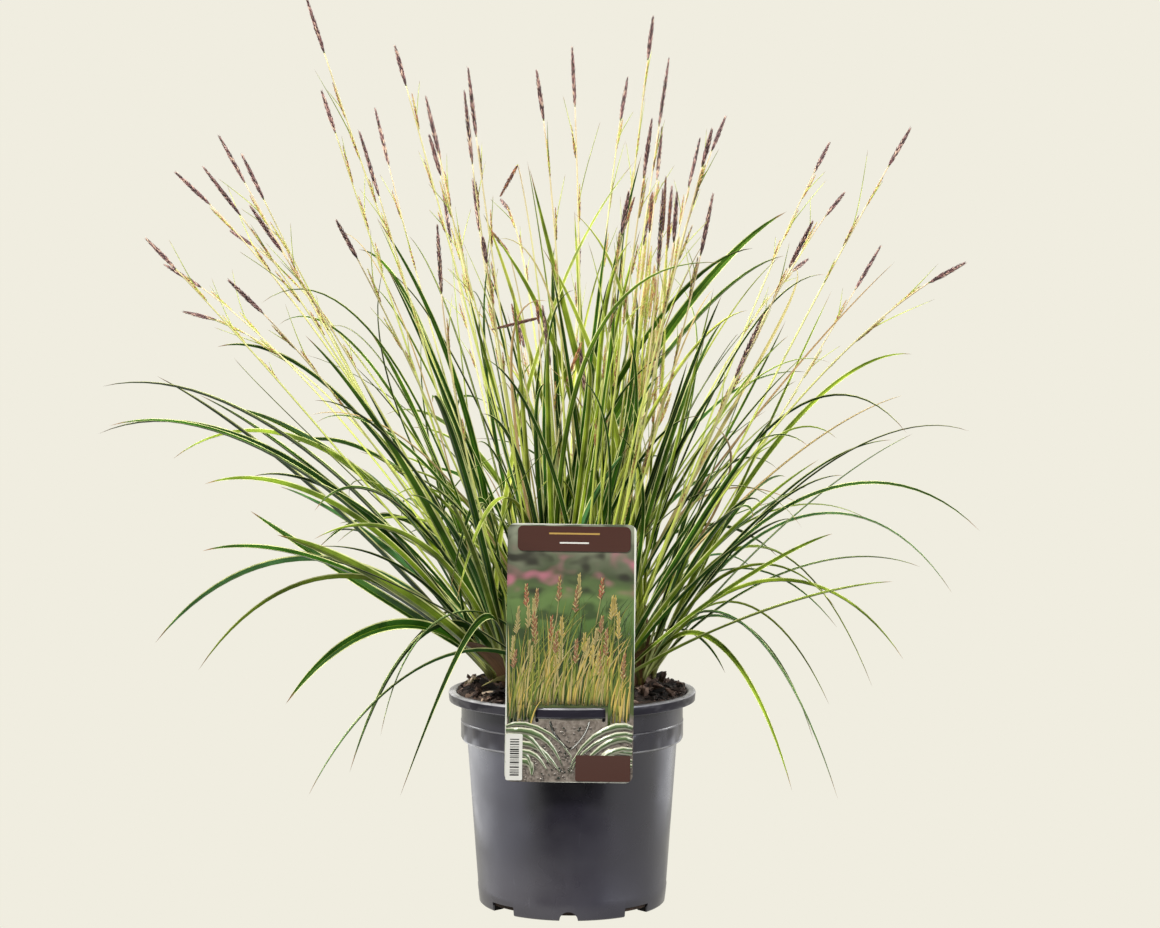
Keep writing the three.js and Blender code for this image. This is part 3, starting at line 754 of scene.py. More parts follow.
def soil_finish(name, stops, toned):
    """Crumbly brown, by each chip's own tone or by the grain alone."""
    soil = Finish(name, 0.92)
    grain = soil.noise(soil.place(), 380.0, 4, 0.7)
    body = soil.ramp(soil.tone() if toned else soil.times(grain, 0.5), stops)
    soil.wire("Base Color", soil.shade(body, grain, (0.3, grey(0.55)), (0.7, grey(1.35))))
    soil.bump(grain, 0.8, 0.0008)
    return soil.material


# ---- pot ----

POT_TURNS = 192
FLUTES = dict(count=24, faces=3, proud=0.35)
SHARP = dict(pot=32, soil=80, card=35)  # the angle, in degrees, from which an edge stays sharp


def pot_profile():
    """The pot's section, from the axis under the floor round the rim to the axis over the floor."""
    height, rim, collar, mouth = (
        POT[size] for size in ("height", "rim_radius", "collar_radius", "mouth_radius"))
    step, foot, wall, ridge, flare, pad, recess = (
        POT[size] for size in ("step_height", "foot_radius", "wall", "ridge", "flare",
                               "pad_radius", "recess"))
    ring, lip, outer = foot - POT["foot_ring"], height - POT["rim_band"], rim - wall

    def body(z, proud=0.0):
        return foot + (POT["body_radius"] - foot) * z / (step - 1) + proud, z

    under = [(0, 0), (pad, 0), (pad + recess, recess), (ring - recess, recess), (ring, 0),
             (foot - 0.8, 0), (foot, 0.8)]
    side = [body(12, 0.3), body(12.6), body(40), body(76), body(step - 2), body(step - 1, 0.5)]
    collar_side = [
        (collar - 0.6, step), (collar, step + 1), (collar, step + 1.6), (collar, ridge - 1.4),
        (collar, ridge - 0.8), (collar + 0.45, ridge - 0.5), (collar + 0.45, ridge + 0.5),
        (collar + 0.1, ridge + 0.9), (collar + 0.1, height - flare - 0.6),
        (mouth + 0.8, height - wall - 0.3)]
    rim_side = [
        (outer - 0.5, height - wall), (outer - 0.1, height - wall - 0.6), (outer - 0.4, lip + 0.4),
        (rim - 1.2, lip), (rim - 0.6, lip + 0.3), (rim - 0.15, height - 1.2),
        (rim - 0.6, height - 0.3), (rim - 1.5, height)]
    inside = [
        (mouth + 0.9, height), (mouth + 0.1, height - 0.35), (wall_at(height - 1.6), height - 1.6),
        (INNER_WALL["collar"], height - flare), (INNER_WALL["collar"], INNER_WALL["ledge"] + 1),
        (INNER_WALL["body"], INNER_WALL["ledge"] - 1.5), (INNER_WALL["foot"], POT["floor"]),
        (0, POT["floor"])]
    return under + side + collar_side + rim_side + inside


def turned(profile, steps):
    """A solid turned about Z from a profile that starts and ends on the axis."""
    bm = bmesh.new()
    verts = [bm.verts.new((r * MM, 0, z * MM)) for r, z in profile]
    edges = [bm.edges.new(pair) for pair in zip(verts, verts[1:])]
    bmesh.ops.spin(bm, geom=[*verts, *edges], cent=(0, 0, 0), axis=(0, 0, 1), angle=2 * math.pi,
                   steps=steps, use_merge=True, use_duplicate=False)
    bmesh.ops.remove_doubles(bm, verts=bm.verts, dist=1e-6)
    bmesh.ops.recalc_face_normals(bm, faces=bm.faces)
    return bm


def cut_away(piece, cutter_mesh):
    """Takes the cutter's volume out of a piece, for good."""
    cutter = in_scene("cutter", mesh_of(cutter_mesh, "cutter"))
    modifier = piece.modifiers.new("cut", "BOOLEAN")
    modifier.object = cutter
    modifier.operation = "DIFFERENCE"
    modifier.solver = "EXACT"
    depsgraph = bpy.context.evaluated_depsgraph_get()
    cut = bpy.data.meshes.new_from_object(piece.evaluated_get(depsgraph))
    piece.modifiers.clear()
    piece.data = cut
    bpy.data.objects.remove(cutter)


def at_turn(degrees, centre):
    """A place that is turned about Z from a centre on the X axis."""
    return Matrix.Rotation(math.radians(degrees), 4, "Z") @ Matrix.Translation(centre)


def cylinder(bm, segments, radius, depth, matrix):
    bmesh.ops.create_cone(bm, cap_ends=True, segments=segments, radius1=radius * MM,
                          radius2=radius * MM, depth=depth, matrix=matrix)


def make_pot():
    bm = turned(pot_profile(), POT_TURNS)
    low, high = POT["step_height"] + 1.3, POT["ridge"] - 1.1
    for vert in bm.verts:
        x, y, z = vert.co / MM
        sector = round(math.degrees(math.atan2(y, x)) / (360 / POT_TURNS))
        in_flute = sector % (POT_TURNS // FLUTES["count"]) < FLUTES["faces"]
        if low < z < high and math.hypot(x, y) > POT["collar_radius"] - 0.3 and in_flute:
            vert.co.xy *= 1 + FLUTES["proud"] / POT["collar_radius"]
    piece = finished(bm, "pot_wall", [pot_finish()], ["pot"])
    cutters = bmesh.new()
    reach = (NOTCH["outer"] - NOTCH["inner"]) * MM
    middle = ((NOTCH["outer"] + NOTCH["inner"]) / 2 * MM, 0, 0)
    for k in range(NOTCH["count"]):
        lay = at_turn(90 * k + NOTCH["turn"], middle) @ Matrix.Rotation(math.pi / 2, 4, "Y")
        cylinder(cutters, 40, NOTCH["height"], reach, lay)
        size = Matrix.Diagonal((reach, NOTCH["width"] * MM, 2 * NOTCH["height"] * MM, 1))
        between = at_turn(90 * (k + 0.5) + NOTCH["turn"], middle)
        bmesh.ops.create_cube(cutters, size=1, matrix=between @ size)
    for k in range(DRAIN["count"]):
        centre = polar(DRAIN["circle"], 90 * k + DRAIN["turn"]) * MM
        cylinder(cutters, 24, DRAIN["radius"], 4 * POT["floor"] * MM, Matrix.Translation(centre))
    cut_away(piece, cutters)
    smooth_piece(piece, SHARP["pot"])


# ---- soil ----

CHIP_TONES = [(0.0, srgb(18, 11, 9)), (0.25, srgb(54, 38, 33)), (0.5, srgb(98, 77, 68)),
              (0.8, srgb(150, 124, 108)), (1.0, srgb(206, 186, 166))]
PEAT_TONES = [(0.15, srgb(20, 13, 10)), (0.35, srgb(64, 47, 38))]
SOIL_STEPS, SOIL_ROWS = 160, 58
CHIPS = dict(count=1100, kinds=6, least=2.6, more=12.5, large=6, tone=(0.33, 0.3))


def soil_height(x, y):
    """The heaped top with its lumps, in millimetres, and the crumbs on it."""
    crumbs = noise.fractal(Vector((x, y, 0)) * 0.16, 0.9, 2.1, 4)
    return soil_top(math.hypot(x, y)) + lump(x, y) + 1.5 * crumbs


def make_soil():
    edge, shelf = INNER_WALL["collar"] - GAP, POT["height"] - POT["flare"] + 0.1
    side = [(0, POT["floor"] + GAP), (INNER_WALL["foot"] - GAP, POT["floor"] + GAP),
            (INNER_WALL["body"] - GAP, INNER_WALL["ledge"] - 1.5 + GAP),
            (edge, INNER_WALL["ledge"] + 1 + GAP), (edge, shelf)]
    top = [(edge * (1 - k / SOIL_ROWS), SOIL["crown"]) for k in range(SOIL_ROWS + 1)]
    bm = turned(side + top, SOIL_STEPS)
    for vert in bm.verts:
        x, y, z = vert.co / MM
        if z > shelf + 1:
            level = soil_height(x / edge * SOIL_RADIUS, y / edge * SOIL_RADIUS)
            at_edge = math.hypot(x, y) / edge > 0.99
            wide = (wall_at(level) - SOIL["slack"] if at_edge else SOIL_RADIUS - 1.2) / edge
            vert.co = Vector((x * wide, y * wide, level)) * MM
    heap = finished(bm, "soil_heap", [soil_finish("peat", PEAT_TONES, False)], ["soil"])
    smooth_piece(heap, SHARP["soil"])


def bark_form(seed):
    """A rough flat chip of bark, about one unit long."""
    chance = random.Random(seed)
    bm = bmesh.new()
    bmesh.ops.create_cube(bm, size=1)
    bmesh.ops.subdivide_edges(bm, edges=bm.edges[:], cuts=1, use_grid_fill=True)
    for vert in bm.verts:
        rough = Vector([chance.uniform(-0.16, 0.16) for _ in range(3)])
        taper = 1 - 0.9 * abs(vert.co.x)
        flat = Vector((vert.co.x, vert.co.y * 0.4 * taper, vert.co.z * 0.15))
        vert.co = flat + rough * 0.66
    bmesh.ops.recalc_face_normals(bm, faces=bm.faces)
    bm.loops.layers.uv.new("UVMap")
    return Form(bm, "bark")


def make_bark():
    """Chips strewn over the soil, small ones by far the most, each leaning its own way."""
    chance = random.Random(11)
    forms = [bark_form(seed) for seed in range(CHIPS["kinds"])]
    bm = new_piece_mesh()
    for _ in range(CHIPS["count"]):
        size = CHIPS["least"] + CHIPS["more"] * chance.random() ** 2.2
        r = (SOIL_RADIUS - 1.0 - 0.5 * size) * math.sqrt(chance.random())
        x, y, _ = polar(r, 360 * chance.random())
        lean = 0.6 if size < CHIPS["large"] else 0.42
        turn = Quaternion((0, 0, 1), chance.uniform(0, 2 * math.pi))
        turn = turn @ Quaternion((1, 0, 0), chance.gauss(0, lean))
        turn = turn @ Quaternion((0, 1, 0), chance.gauss(0, lean))
        form = chance.choice(forms)
        seat = np.array([x, y, soil_height(x, y) + 0.1 * size])
        places = form.corners * size @ np.array(turn.to_matrix()).T + seat
        add_copy(bm, form, places, clamped(chance.gauss(*CHIPS["tone"])))
    finished(bm, "bark_chips", [soil_finish("bark", CHIP_TONES, True)])


# ---- leaves ----

BLADE_STEPS = 26
BLADE_SHARES = np.linspace(0, 1, BLADE_STEPS + 1)
BLADE_WIDTH = np.interp(BLADE_SHARES, [0, 0.08, 0.25, 0.5, 0.76, 0.9, 1],
                        [0.62, 0.85, 1.0, 0.96, 0.68, 0.38, 0.02])
BLADE_FOLD = np.interp(BLADE_SHARES, [0, 0.1, 0.4, 0.8, 1], [0.9, 0.72, 0.58, 0.6, 0.6])
FULLER = 1.12  # how much wider a fine leaf is than its solid
blade = tube(8, BLADE_STEPS, "blade", creases=(-1, 0, 1), pointed=True)


def add_leaf(bm, piece, tone, width=1.0, material=0, fold=1.0):
    """A keeled blade along its curve, folded along its midrib and thin at its margins."""
    rings = rings_along(piece["control"], BLADE_SHARES, piece["side"], piece["roll"],
                        piece["twist"])
    half = BLADE_WIDTH * piece["half_width"] * width
    body = 0.16 + 0.1 * BLADE_WIDTH

    def lift(x, y, ring):
        return half[ring] * BLADE_FOLD[ring] * fold * (np.abs(x) - 0.45) + y * body[ring]

    add_copy(bm, blade, bent(blade, rings, half, lift), tone, material)


def tone_of(draw, upright, fresh=0.16):
    """Upright inner leaves are fresher, and the outer ones deeper and bluer green; the lime of the
    fresh ones is partly painted light, standing in for light shining through the leaves in the
    middle.
    """
    mix = draw()
    if mix < (0.51 if upright else fresh):
        return 0.68 + (0.32 if upright else 0.07) * draw()
    return (0.3 if upright else 0.52) * draw()


# The kinds of tuft by where they stand: how much wider the leaves are than their solids, how many
# are added between them, how many stray over them and the share of fresh ones. The outer ones go
# from left to right, each up to its own x.
INNER_TUFT = dict(width=0.84, added=3, strays=8, fresh=0.16)
OUTER_TUFTS = [
    (-20, dict(width=1.72, added=2, strays=3, fresh=0.16)),
    (20, dict(width=1.0, added=3, strays=6, fresh=0.16)),
    (30, dict(width=1.0, added=0, strays=6, fresh=0.16)),
    (100, dict(width=0.72, added=0, strays=0, fresh=0.36)),
]
ADDED_TRIES = 40
HIGH_TIP = 388  # outer leaves that reach higher are a fresher green
SLENDER = dict(left_of=-180, width=0.5)  # the high leaves that lean furthest to the left
SHEATHS = 7  # dry sheaths round the foot of each tuft
COMMON_ROLL = 62

# Leaves that cross the middle: the tuft's number, the curve's last three control points, the half
# width, the tone and how far the blade is rolled, if not as most are.
CROSSING = [
    (5, (32, -5, 270), (-3, -25, 395), (-28, -40, 500), 2.5, 0.78),
    (10, (-56, -10, 280), (-22, -30, 430), (42, -40, 505), 2.5, 0.84),
    (14, (42, -25, 300), (58, -30, 425), (1, -40, 471), 1.6, 0.9),
    (0, (20, 0, 280), (5, -30, 385), (-56, -50, 462), 2.2, 0.74),
    (14, (52, -28, 250), (28, -40, 370), (-20, -55, 448), 2.3, 0.82),
    (3, (-10, -36, 260), (15, -76, 360), (66, -92, 381), 2.1, 0.3, 25),
    (4, (-12, -50, 215), (0, -72, 275), (38, -80, 318), 2.9, 0.5, 10),
    (3, (-20, -70, 280), (-46, -100, 340), (-74, -112, 219), 2.2, 0.82, 10),
    (11, (-70, -60, 240), (-40, -90, 300), (-8, -95, 322), 1.4, 0.7),
    (9, (-50, 0, 260), (-70, -20, 380), (-130, -40, 468), 2.0, 0.3),
    (5, (40, -10, 250), (60, -20, 330), (118, -60, 398), 2.2, 0.2),
    (4, (20, -24, 220), (38, -38, 320), (50, -44, 422), 2.3, 0.95),
    (4, (24, -20, 240), (44, -34, 340), (55, -38, 440), 2.0, 0.9),
    (4, (18, -28, 200), (32, -42, 290), (44, -48, 392), 2.5, 0.98),
    (14, (52, -26, 250), (54, -32, 340), (61, -36, 432), 1.9, 0.88),
    (14, (44, -30, 240), (42, -38, 320), (49, -42, 406), 2.2, 0.95),
    (4, (16, -22, 210), (27, -34, 280), (37, -40, 362), 2.6, 1.0),
]
# Dead ends at the crown, in the same form.
DEAD_ENDS = [
    (11, (-46, -48, 172), (-58, -55, 184), (-74, -62, 187), 4.2, 0.2),
    (11, (-40, -52, 166), (-48, -62, 164), (-60, -68, 158), 2.6, 0.85),
    (12, (44, -50, 170), (52, -58, 184), (60, -62, 190), 3.0, 0.3),
    (4, (30, -45, 220), (44, -60, 262), (56, -66, 270), 1.6, 0.1),
]


def level_side(out):
    """The level direction across a course."""
    return unit(np.array([-out[1], out[0], 0.0]))


def hand_set(row):
    number, near, far, tip, half_width, tone, *rolled = row
    start = tufts[number]["centre"] + UP * (tufts[number]["level"] + 2)
    control = np.array([start, near, far, tip])
    roll = rolled[0] if rolled else COMMON_ROLL
    return dict(control=control, side=level_side(control[3] - control[0]),
                half_width=half_width, roll=roll, twist=-24), tone


def kind_of(foot):
    if foot["ring"] == 0:
        return INNER_TUFT
    return next(kind for x, kind in OUTER_TUFTS if foot["centre"][0] < x)


def width_of(piece, foot, kind):
    """How much wider a leaf is than its solid: broad ones lie sideways, not to or fro."""
    x, _, z = piece["control"][3]
    if x < SLENDER["left_of"] and z > HIGH_TIP:
        return SLENDER["width"]
    aside, deep, _ = np.abs(piece["control"][3] - foot["centre"])
    return 1.0 if kind["width"] > 1 and deep > 0.8 * aside else kind["width"]


def add_between(bm, i, foot, kind, draw):
    """Thin leaves between the solid ones, where nothing is in their way."""
    inner, added = foot["ring"] == 0, 0
    for k in range(ADDED_TRIES):
        if added == kind["added"]:
            break
        extra = draws(9001 * i + 257 * k + 41)
        form = blade_of(extra, 0.9 if inner else 1.4, 1.0)
        piece = leaf_piece(foot, drawn(foot, k + LEAF["per_tuft"], extra), form)
        if not blocked(piece["segments"]):
            # Every second added inner leaf is at least this fresh lime, partly painted light
            # shining through the middle.
            fresh = 0.8 if inner and k % 2 else 0
            add_leaf(bm, piece, max(tone_of(draw, inner), fresh), FULLER)
            added += 1


def add_strays(bm, i, foot, kind, draw):
    """Thin leaves that wander across their neighbours, every third one dry."""
    for k in range(kind["strays"]):
        extra = draws(6101 * i + 197 * k + 59)
        dry, broad = k % 3 == 0, foot["ring"] == 0 and k % 3 == 1
        azimuth = math.degrees(foot["azimuth"]) + 190 * (extra() - 0.5)
        tip = polar(40 + 190 * extra(), azimuth, 230 + 230 * extra())
        route = dict(tip=tip, rise=70 * extra(), bow=190 * (extra() - 0.5))
        piece = leaf_piece(foot, route, blade_of(extra, 1.2 if broad else 0.6, 0.8))
        if not blocked(piece["segments"]):
            if dry or broad:
                tone = 0.5 + 0.4 * draw() if dry else 0.54 + 0.12 * draw()
            else:
                tone = tone_of(draw, True)
            add_leaf(bm, piece, tone, material=int(dry))


def add_sheath(bm, foot, draw):
    """A short dry sheath that hugs the foot of a tuft."""
    azimuth, height, lean = 360 * draw(), 24 + 34 * draw(), 4 + 9 * draw()

    def at(out, rise):
        return foot["centre"] + polar(out, azimuth) + UP * (foot["level"] + rise)

    middle, tip = at(3.4, 0.45 * height), at(lean, height)
    piece = dict(control=np.array([at(1.2, -2), middle, middle, tip]),
                 side=polar(1, azimuth + 90), half_width=2.2 + 1.4 * draw(), roll=0,
                 twist=30 * (draw() - 0.5))
    if not blocked(chain(np.array([middle, tip]), [2.0, 2.0])):
        add_leaf(bm, piece, draw(), material=1, fold=-0.8)


def make_tufts(leaf, sheath):
    for i, foot in enumerate(tufts):
        bm, draw, kind = new_piece_mesh(), draws(313 * i + 7), kind_of(foot)
        inner = foot["ring"] == 0
        for piece in foot["pieces"]:
            tone = tone_of(draw, inner, kind["fresh"])
            if piece["control"][3][2] > HIGH_TIP and not inner:
                tone = max(tone, 0.58)
            add_leaf(bm, piece, tone, width_of(piece, foot, kind))
        add_between(bm, i, foot, kind, draw)
        add_strays(bm, i, foot, kind, draw)
        for k in range(SHEATHS):
            add_sheath(bm, foot, draws(577 * i + 89 * k + 3))
        for rows, material in ((CROSSING, 0), (DEAD_ENDS, 1)):
            for row in rows:
                if row[0] == i:
                    piece, tone = hand_set(row)
                    add_leaf(bm, piece, tone, 1.2, material, 0.6 - material)
        finished(bm, f"leaves_{i + 1:02d}", [leaf, sheath], [f"leaf_tuft_{i + 1:02d}"])


# ---- flowering stems ----

CULM_STEPS = 40
CULM_SHARES = np.linspace(0, 1, CULM_STEPS + 1)
CULM_RADIUS = ([0, 0.1, 0.6, 1], [1.05, 0.9, 0.7, 0.42])  # by the share of the way up
LATE_CULM_RADIUS = ([0, 0.6, 1], [0.8, 0.6, 0.4])
culm = tube(6, CULM_STEPS, "culm")
scale_form = tube(4, 3, "scale", pointed=True)
SCALE_SWELL = np.array([0.35, 1.0, 0.7, 0.0])
SEED_SWELL = np.array([0.45, 1.0, 0.8, 0.0])
LONGER_SPIKE = 1.22  # how much longer a fine end spike is than its solid, down its culm
GOLDEN_TURN = 2.39996
UNDER_BUNCH = 110  # stems that end between the middle and this x carry five side spikes

# Kinds of head: the core's radius, how far out its scales or seeds sit, their length, width and
# thickness, how far they lean out and their swell, and the piece's material.
END_SPIKE = dict(core=0.5, radius=1.1, size=(4.4, 0.5, 0.26), lean=0.23, swell=SCALE_SWELL,
                 material=1)
SIDE_SPIKE = dict(core=0.34, radius=0.6, size=(2.5, 0.34, 0.26), lean=0.2, swell=SEED_SWELL,
                  material=2)
LATE_HEAD = dict(core=0.45, radius=0.9, size=(3.2, 0.42, 0.3), lean=0.26, swell=SEED_SWELL,
                 material=2)


def frame_of(direction, side):
    up = unit(np.cross(direction, side))
    return np.cross(up, direction), up


def leaning_out(along, out, angle):
    return along * math.cos(angle) + out * math.sin(angle)


def add_culm(bm, control, side, share, radii, tone):
    """A culm up to this share of its curve."""
    radius = np.interp(CULM_SHARES, *radii)
    rings = rings_along(control, CULM_SHARES * share, side)
    add_copy(bm, culm, bent(culm, rings, radius, lambda x, y, ring: y * radius[ring]), tone)


def add_head(bm, kind, start, end, side, count, tone, draw):
    """A core with small scales or seeds in a spiral round it, each leaning out and up."""
    direction = unit(end - start)
    across, up = frame_of(direction, side)
    x, y, z = scale_form.corners.T
    levels = len(kind["swell"])
    ring = np.rint(z * (levels - 1)).astype(int)
    centres = start + (end - start) * np.linspace(0, 1, levels)[:, None] * 0.96
    rings = (centres, np.tile(across, (levels, 1)), np.tile(up, (levels, 1)))
    core = bent(scale_form, rings, np.full(levels, kind["core"]),
                lambda x, y, ring: y * kind["core"])
    add_copy(bm, scale_form, core, 0.9)

    length, width, thickness = kind["size"]
    for k in range(count):
        share = (k + 0.5) / count
        turn = GOLDEN_TURN * k
        out = across * math.cos(turn) + up * math.sin(turn)
        about = np.cross(direction, out)
        leaning = leaning_out(direction, out, kind["lean"] * (0.7 + 0.6 * draw()))
        flat = np.cross(about, leaning)
        round_off = math.sin(math.pi * min(1, 0.12 + 0.88 * share ** 0.85)) ** 0.8
        seat = start + (end - start) * share * 0.93 + out * kind["radius"] * round_off * 0.55
        slim = 0.5 + 0.5 * round_off
        long = length * (0.85 + 0.3 * draw()) * (0.7 + 0.3 * round_off)
        places = seat + leaning * (z * long)[:, None]
        places = places + about * (x * kind["swell"][ring] * width * slim)[:, None]
        places = places - flat * (y * kind["swell"][ring] * thickness * slim)[:, None]
        add_copy(bm, scale_form, places, tone(share, draw), kind["material"])


def end_tone(ripe):
    """Dark scales, with paler ones at the foot of a spike that has come into flower."""
    def tone(share, draw):
        flowering = max(0.0, ripe - share) * 1.5
        return clamped(0.05 + 0.95 * draw() ** 1.4 + flowering * draw())
    return tone


def seed_tone(middle, spread):
    return lambda share, draw: clamped(middle + spread * (draw() - 0.5))


def add_side_spike(bm, piece, number, top, ripeness, draw):
    """A slender speckled spike against the culm, with the leafy bract at its foot."""
    control, length = piece["control"], piece["length"]
    long = (FEMALE["length"] + 8 * (draw() - 0.5)) * (0.75 if number == 2 else 1)
    base_share = top - long / length
    base, ahead = on_curve(control, [base_share, min(1, base_share + 0.02)])
    along = unit(ahead - base)
    across, up = frame_of(along, piece["side"])
    turn = 2 * math.pi * draw()
    out = across * math.cos(turn) + up * math.sin(turn)
    direction = leaning_out(along, out, math.radians(1 + 5 * draw()))
    start = base + out * 0.8
    darkness = 0.1 + 0.45 * ripeness + 0.3 * draw()
    add_head(bm, SIDE_SPIKE, start, start + direction * long, across, int(1.9 * long),
             seed_tone(darkness, 0.9), draw)
    bract_length = (24 + 34 * draw()) * (1.2 - 0.35 * number if number < 3 else 1.1)
    towards = leaning_out(along, out, math.radians(10 + 16 * draw()))
    bend = base + along * bract_length * 0.35
    course_of_it = np.array([base, base + along * bract_length * 0.2, bend + out * 2,
                             base + towards * bract_length])
    bract = dict(control=course_of_it, side=np.cross(along, out), half_width=0.45, roll=0,
                 twist=20 * draw())
    add_leaf(bm, bract, 0.8 + 0.2 * draw(), material=3)


def add_stem(bm, piece, draw):
    """A thin culm with its dark end spike, its speckled side spikes and their bracts."""
    control, side, length = piece["control"], piece["side"], piece["length"]
    neck_share = 1 - LONGER_SPIKE * (1 - piece["neck"])
    add_culm(bm, control, side, neck_share, CULM_RADIUS, draw())
    neck, tip = on_curve(control, [neck_share, 1.0])
    add_head(bm, END_SPIKE, neck, tip, side, 118, end_tone(0.6 * draw() ** 2), draw)
    low, high = piece["females"]
    tops = [low, high, (high + piece["neck"]) / 2, low - (26 + 12 * draw()) / length,
            low - (60 + 30 * draw()) / length]
    ripeness = min(1, draw() + (0.2 if 20 < tip[0] < UNDER_BUNCH else 0.15))
    if not 0 < tip[0] < UNDER_BUNCH:
        tops = [tops[0], tops[1], tops[3]]
    for number, top in enumerate(tops):
        add_side_spike(bm, piece, number, top, ripeness, draw)


# Thin culms with one late head, low among the leaves: the group's number, two points of the curve,
# the head's foot and tip and how ripe it is.
LATE_HEADS = [
    (2, (-20, -20, 230), (-12, -46, 310), (-4, -54, 358), (7, -56, 386), 0.75),
    (2, (-14, -16, 260), (-28, -36, 330), (-34, -48, 383), (-40, -50, 411), 0.95),
    (2, (-8, -20, 260), (-20, -44, 340), (-22, -50, 397), (-23, -52, 413), 0.9),
    (3, (22, -16, 250), (40, -42, 310), (50, -50, 359), (58, -52, 389), 0.6),
    (3, (10, -30, 300), (30, -56, 352), (24, -64, 335), (15, -66, 324), 0.8),
    (3, (26, -20, 290), (56, -46, 352), (47, -60, 336), (32, -62, 326), 0.5),
    (2, (-10, -8, 330), (-24, -16, 450), (-36, -30, 503), (-48, -34, 481), 0.95),
    (3, (30, -14, 240), (40, -34, 300), (44, -48, 344), (45, -50, 371), 0.5),
    (2, (-20, -10, 320), (-30, -20, 400), (-42, -28, 444), (-54, -30, 459), 0.9),
    (3, (18, -10, 320), (26, -18, 400), (34, -26, 458), (42, -30, 482), 0.9),
    (3, (34, -12, 280), (42, -28, 330), (46, -38, 400), (50, -40, 428), 0.45),
    (3, (28, -16, 260), (46, -40, 320), (58, -50, 330), (66, -52, 352), 0.5),
    (3, (26, -6, 250), (40, -16, 360), (46, -22, 420), (50, -24, 456), 0.35),
    (3, (30, -4, 250), (46, -12, 360), (52, -18, 400), (56, -20, 438), 0.5),
    (3, (24, -8, 250), (34, -20, 340), (40, -26, 392), (44, -28, 428), 0.3),
    (3, (34, -6, 250), (52, -14, 340), (56, -20, 372), (60, -22, 406), 0.6),
    (3, (22, -14, 250), (34, -30, 320), (38, -34, 352), (42, -36, 384), 0.4),
    (3, (34, -14, 240), (52, -30, 310), (54, -34, 330), (57, -36, 362), 0.5),
    (3, (24, -18, 230), (36, -36, 310), (40, -40, 350), (47, -44, 405), 0.0),
    (3, (26, -14, 250), (38, -32, 330), (44, -36, 378), (50, -40, 434), 0.15),
    (3, (22, -20, 220), (33, -38, 290), (37, -42, 322), (45, -46, 378), 0.05),
    (3, (28, -12, 260), (43, -36, 340), (48, -40, 390), (53, -44, 448), 0.25),
    (3, (28, -16, 240), (44, -30, 320), (50, -36, 360), (56, -40, 418), 0.1),
    (3, (26, -22, 230), (40, -40, 300), (45, -44, 338), (52, -48, 394), 0.0),
    (3, (30, -10, 260), (48, -30, 340), (54, -34, 382), (58, -38, 440), 0.3),
    (3, (20, -18, 210), (30, -34, 262), (34, -38, 292), (42, -42, 350), 0.1),
    (3, (30, -12, 250), (55, -34, 350), (61, -38, 396), (63, -42, 452), 0.2),
    (3, (30, -20, 240), (54, -40, 310), (59, -44, 344), (62, -46, 396), 0.1),
    (2, (-8, -20, 290), (-14, -44, 370), (-22, -50, 401), (-54, -54, 393), 1.25),
    (3, (28, -6, 260), (46, -14, 370), (52, -20, 458), (54, -22, 486), 1.0),
    (3, (30, -6, 260), (54, -14, 380), (61, -20, 458), (63, -22, 497), 1.15),
    (3, (32, -8, 260), (56, -18, 370), (64, -24, 446), (66, -26, 482), 1.1),
]


def add_late_head(bm, foot, row, draw):
    near, far, neck, end, ripe = row
    control = np.array([foot["centre"] + UP * foot["level"], near, far, neck])
    neck, end = control[3], np.array(end, float)
    side = level_side(neck - control[0])
    add_culm(bm, control, side, 1.0, LATE_CULM_RADIUS, draw())
    count = int(2.6 * np.linalg.norm(end - neck))
    add_head(bm, LATE_HEAD, neck, end, side, count, seed_tone(ripe, 0.6), draw)


def make_stems(stem, leaf):
    scale = head_finish("dark spike scale", 0.6, SCALE_TONES, srgb(190, 158, 146), 0.45)
    seed = head_finish("speckled seed", 0.55, SEED_TONES, srgb(160, 112, 70), 0.6)
    number = 0
    for i, foot in enumerate(groups):
        if not foot["pieces"]:
            continue
        number += 1
        bm, draw = new_piece_mesh(), draws(761 * i + 19)
        for piece in foot["pieces"]:
            add_stem(bm, piece, draw)
        for row in LATE_HEADS:
            if row[0] == i:
                add_late_head(bm, foot, row[1:], draw)
        finished(bm, f"flowering_stems_{number:02d}", [stem, scale, seed, leaf],
                 [f"flower_stems_{number:02d}"])


# ---- label ----

LABEL_PLACE = Matrix.Translation((
    LABEL["x"] * MM, LABEL["y"] * MM, (LABEL["bottom"] + LABEL["height"] / 2) * MM,
)) @ Matrix.Rotation(math.radians(-LABEL["tilt"]), 4, "Y")


def thickened(bm, depth, matrix):
    """A flat upright shape as a plate of this depth about its own plane, put in its place."""
    corners = parts_of(bmesh.ops.extrude_face_region(bm, geom=bm.faces[:]), BMVert)
    bmesh.ops.translate(bm, verts=corners, vec=(0, depth * MM, 0))
    bmesh.ops.translate(bm, verts=bm.verts, vec=(0, -depth / 2 * MM, 0))
    bmesh.ops.recalc_face_normals(bm, faces=bm.faces)
    bmesh.ops.transform(bm, matrix=matrix, verts=bm.verts)
    return bm


def rounded_card(width, height, radius, depth, matrix, segments=8):
    """A flat card with rounded corners, upright and facing -Y."""
    bm = bmesh.new()
    bmesh.ops.create_grid(bm, x_segments=1, y_segments=1, size=0.5)
    for vert in bm.verts:
        vert.co = Vector((vert.co.x * width, 0, vert.co.y * height)) * MM
    bmesh.ops.bevel(bm, geom=bm.verts[:], offset=radius * MM, segments=segments, affect="VERTICES",
                    profile=0.5, material=-1)
    return thickened(bm, depth, matrix)


